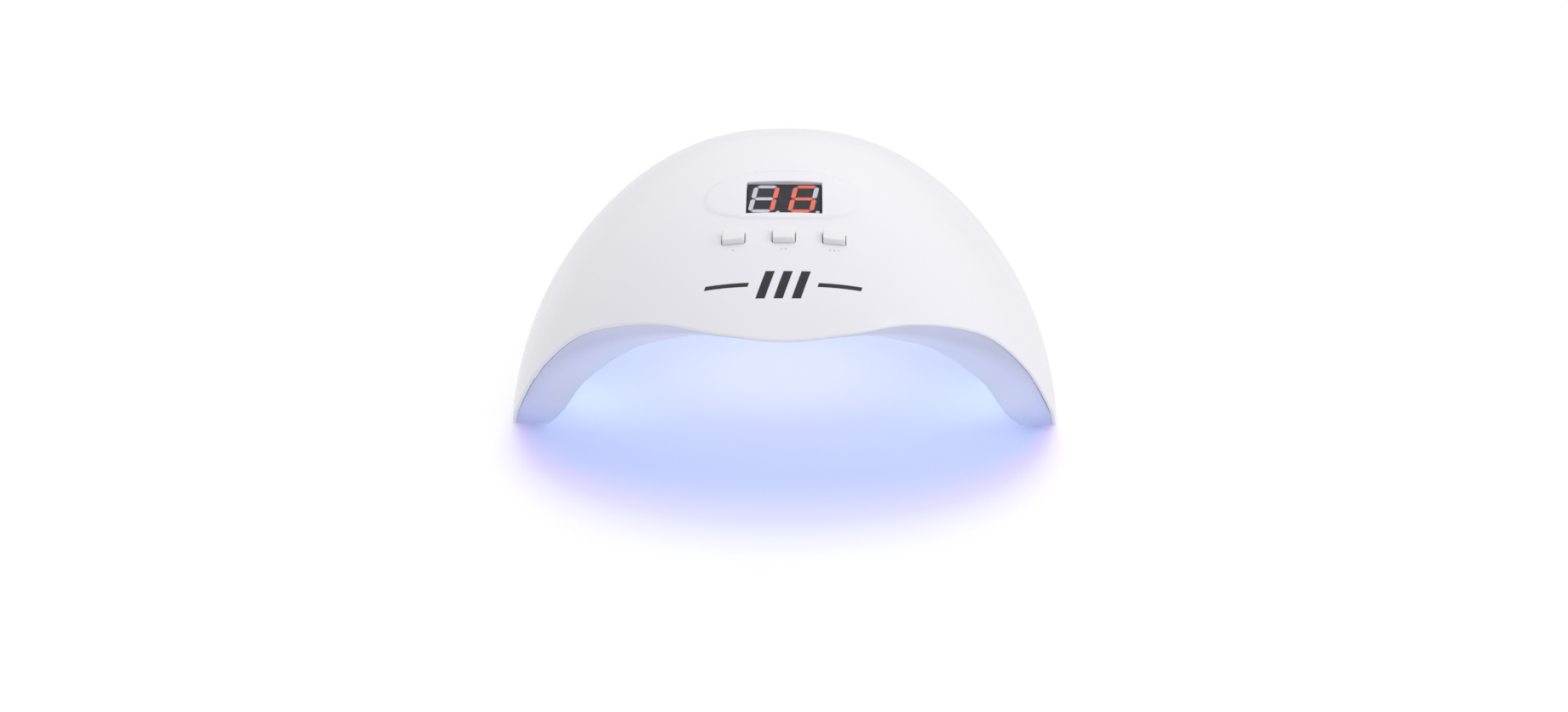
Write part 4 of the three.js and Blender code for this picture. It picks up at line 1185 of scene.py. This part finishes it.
def power_socket():
    """The socket's block with its round nose and the bore for the plug."""
    half = JACK["high"] / 2
    body = box_mesh(JACK["width"], JACK["length"], JACK_Z - half, JACK_Z + half, 0, JACK_Y)
    root = JACK_Y + JACK["length"] / 2 - 1 - JACK_END
    r = JACK["nose"]
    nose = turned([(r, root), (r, -0.4), (r - 0.12, -0.12), (r - 0.4, 0)], 64)
    r = JACK["bore"]
    bore = turned([(r, -JACK["bore_deep"]), (r, -0.35), (r + 0.35, 0), (r + 0.35, 2)], 64)
    return shade(cut(cut(body, [along_y(nose, JACK_END)], "UNION"), [along_y(bore, JACK_END)]))


def socket_pin():
    """The contact pin in the socket's bore, with a rounded tip."""
    start = -JACK["bore_deep"] + GAP
    profile = [(0, start), (0.8, start), (1.0, start + 1), (0.95, -1.6), (0.7, -1.3), (0, -1.2)]
    return shade(along_y(turned(profile, 40), JACK_END))


piece("socket", power_socket(), BLACK, ["power_socket"])
piece("socket_pin", socket_pin(), NICKEL, ["power_socket_pin"])


def bulb(x):
    """An infrared bulb that looks down through the bowl, with its two legs."""
    low = height_at(BOWL, x, SENSOR["y"]) - SENSOR["proud"]
    r, collar, top = SENSOR["radius"], SENSOR["collar"], low + SENSOR["tall"]
    profile = [*round_edge(r, low), (r, top - 1), (collar, top - 1), (collar, top), (0, top)]
    body = turned(profile, 40, (x, SENSOR["y"], 0))
    node_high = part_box("infrared_emitter" if x < 0 else "infrared_receiver")[1][2] / MM
    legs = [box_mesh(0.6, 0.6, top - 0.5, node_high, x + s, SENSOR["y"], 0.06) for s in (-1.27, 1.27)]
    return shade(cut(body, legs, "UNION"))


piece("emitter_bulb", bulb(-SENSOR["apart"]), LENS_CLEAR, ["infrared_emitter"])
piece("receiver_bulb", bulb(SENSOR["apart"]), LENS_DARK, ["infrared_receiver"])


def screw_mesh():
    """A pan-head screw, head down with its face at height 0, with a cross recess and a threaded shank."""
    head, high, shank, length = (SCREW[k] for k in ("head", "head_high", "shank", "length"))
    pitch = 0.7
    profile = [(0, 0), *round_edge(0.7, 0, head - 0.7, 6), (head, high), (shank, high)]
    for k in range(int((length - high - 1) / pitch)):
        z = high + 0.2 + k * pitch
        profile += [(shank - 0.2, z), (shank, z + pitch / 2)]
    profile += [(shank - 0.2, length - 0.8), (0, length)]
    body = turned(profile, 32)
    arms = [box_mesh(2.6, 0.62, -1, 0.9, edge=0.1), box_mesh(0.62, 2.6, -1, 0.9, edge=0.1)]
    return shade(cut(cut(body, arms[:1]), arms[1:]), 50)


SCREW_MESH = screw_mesh()


def place_pairs(kind, rows, spots, make, material):
    """Pieces in pairs from front to back, named as their CAD nodes are."""
    for k, (x, y, _) in enumerate(spots):
        name = f"{kind}_{rows[k // 2]}_{'right' if x > 0 else 'left'}"
        piece(f"{name}_detail", make(x, y, k), material, [name])


def seated_screw(x, y, k):
    """A copy of the screw, with its cross turned another way than the last."""
    z = FOOT_STAND + SCREW["sunk"] - SCREW["head_high"]
    return stood(SCREW_MESH.copy(), (x, y, z), 0.4 + 1.1 * k, "Z")


place_pairs("case_screw", ("front", "middle", "rear"), case_spots, seated_screw, STEEL)
place_pairs("bowl_screw", ("middle", "rear"), bowl_spots, seated_screw, STEEL)


def rubber_foot(x, y, k):
    """A round foot with a worn outer edge and a shallow dish in the middle."""
    r, top = RUBBER["radius"], FOOT_STAND + RUBBER["sunk"]
    profile = [(0, 0.35), (r - 1.9, 0.35), (r - 1.5, 0), *round_edge(0.6, 0, r - 0.6, 6)]
    profile += [(r, top - 0.1), (r - 0.1, top), (0, top)]
    return shade(turned(profile, 48, (x, y, 0)), 50)


place_pairs("rubber_foot", ("front", "rear"), rubber_spots, rubber_foot, RUBBER_GREY)

# --- CAD nodes that stay as they are

CARRIED = {
    "main_board": GREEN,
    "led_lead": LEAD_RED,
    "power_lead": LEAD_BLACK,
    "switch_body": BLACK,
    "switch_plunger": CHOKE,
    "board_screw": STEEL,
    "smoothing_capacitor": CAN_BLUE,
    "choke_coil": CHOKE,
    "led_connector": CONNECTOR,
    "power_connector": CONNECTOR,
}
for name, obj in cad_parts.items():
    material = next((m for start, m in CARRIED.items() if name.startswith(start)), None)
    if not material or obj.hide_render:
        continue
    if not obj.material_slots:
        obj.data.materials.append(material)
    for holder in obj.material_slots:
        holder.material = material

# --- floor and light


def floor_material():
    """Pale floor with a painted glow: blue under the lamp, fading to white past a lavender fringe."""
    n = Nodes(bpy.data.materials.new("pale_floor"))
    calc = n.calc

    def along(axis, centre, reach):
        return calc("DIVIDE", calc("SUBTRACT", axes.outputs[axis], centre), reach)

    def length(a, b):
        return calc("SQRT", calc("ADD", calc("MULTIPLY", a, a), calc("MULTIPLY", b, b)))

    axes = n.add("ShaderNodeSeparateXYZ", {"Vector": n.place})
    # The painted glow under the lamp.
    middle = length(along("X", 0.0, 0.1), along("Y", 0.008, 0.1))
    inside = n.ramp(middle, [
        (0.2, (0.72, 0.735, 0.87)), (0.55, (0.62, 0.66, 0.88)), (0.75, (0.6, 0.65, 0.88)),
        (0.97, (0.56, 0.625, 0.9)),
    ])
    x, y = along("X", 0.0, 0.1), along("Y", -0.03, 0.095)
    reach = length(x, y)
    front = calc("MINIMUM", calc("MAXIMUM", calc("DIVIDE", calc("MULTIPLY", y, -1.0), reach), 0.0), 1.0)
    front = calc("MULTIPLY", front, front)
    # The painted glow's fade runs from start on over width. It is narrow beside the feet and wide ahead of
    # the mouth.
    start = calc("SUBTRACT", 0.95, calc("MULTIPLY", front, 0.34))
    width = calc("ADD", 0.08, calc("MULTIPLY", front, calc("SUBTRACT", 1.2, calc("MULTIPLY", front, 0.3))))
    fade = calc("DIVIDE", calc("SUBTRACT", reach, start), width)
    white = n.drift(n.noise(25, 4), (0.97, 0.97, 0.975), (0.985, 0.985, 0.985))
    # The painted glow's fringe: lavender beside the feet, paler ahead of the mouth.
    ahead = n.ramp(fade, [(0.0, (0.58, 0.66, 0.98)), (0.3, (0.69, 0.7, 0.97)), (0.7, (0.86, 0.86, 0.99))])
    aside = n.ramp(fade, [(0.0, (0.58, 0.64, 0.98)), (0.3, (0.68, 0.62, 0.97)), (0.7, (0.86, 0.79, 0.98))])
    fringe = n.mix(front, aside, ahead)
    glow = n.mix(n.range(fade, 0, 1, 0.0, 0.3), inside, fringe)
    tone = n.mix(n.range(fade, 0, 1, 0.4, 1.0), glow, white)
    # The painted glow goes into both the floor's colour and its emission.
    dim = n.mix(0.5, tone, (0, 0, 0, 1))
    return n.shaded(Base_Color=dim, Emission_Color=tone, Roughness=0.8, Emission_Strength=0.58,
                    Specular_IOR_Level=0.2)


def floor():
    """A wide plane under the lamp, which isn't part of it."""
    half = 3000.0
    corners = [(-half, -half, 0), (half, -half, 0), (half, half, 0), (-half, half, 0)]
    mesh = make_mesh(corners, [(0, 1, 2, 3)])
    if mesh.polygons[0].normal.z < 0:
        mesh.flip_normals()
    obj = add_object("floor", mesh)
    mesh.materials.append(floor_material())
    obj.visible_glossy = False  # so that the white shell keeps its outline against the white floor


def area_light(name, place, aim, size, power):
    data = bpy.data.lights.new(name, "AREA")
    data.shape = "RECTANGLE"
    data.size, data.size_y = size
    data.energy = power
    obj = add_object(name, data)
    obj.location = place
    obj.rotation_euler = (Vector(aim) - Vector(place)).to_track_quat("-Z", "Y").to_euler()


SKY = dict(level=0.373, Y=0.494, Z=0.629, below=0.138)  # all round, from behind, from above, from below


def soft_sky(world):
    """Light from all round, stronger from above and from behind the lamp."""
    n = Nodes(world, "Background", "Generated")
    way = n.add("ShaderNodeSeparateXYZ", {"Vector": n.place})
    under = n.calc("MAXIMUM", n.calc("MULTIPLY", way.outputs["Z"], -1.0), 0.0)
    amount = n.calc("MULTIPLY", under, SKY["below"])
    for axis in "YZ":
        part = n.calc("MULTIPLY", n.calc("MAXIMUM", way.outputs[axis], 0.0), SKY[axis])
        amount = n.calc("ADD", amount, part)
    n.shaded(Color=(0.98, 0.98, 1.0, 1), Strength=n.calc("ADD", amount, SKY["level"]))


floor()
world = bpy.data.worlds.new("studio")
scene.world = world
soft_sky(world)

area_light("key", (1.0, -0.6, 1.1), (0, -0.02, 0.04), (1.1, 1.3), 3.5)
area_light("right_box", (1.0, -0.25, 0.75), (0, 0, 0.05), (0.25, 0.4), 1.35)

scene.view_settings.view_transform = "Standard"
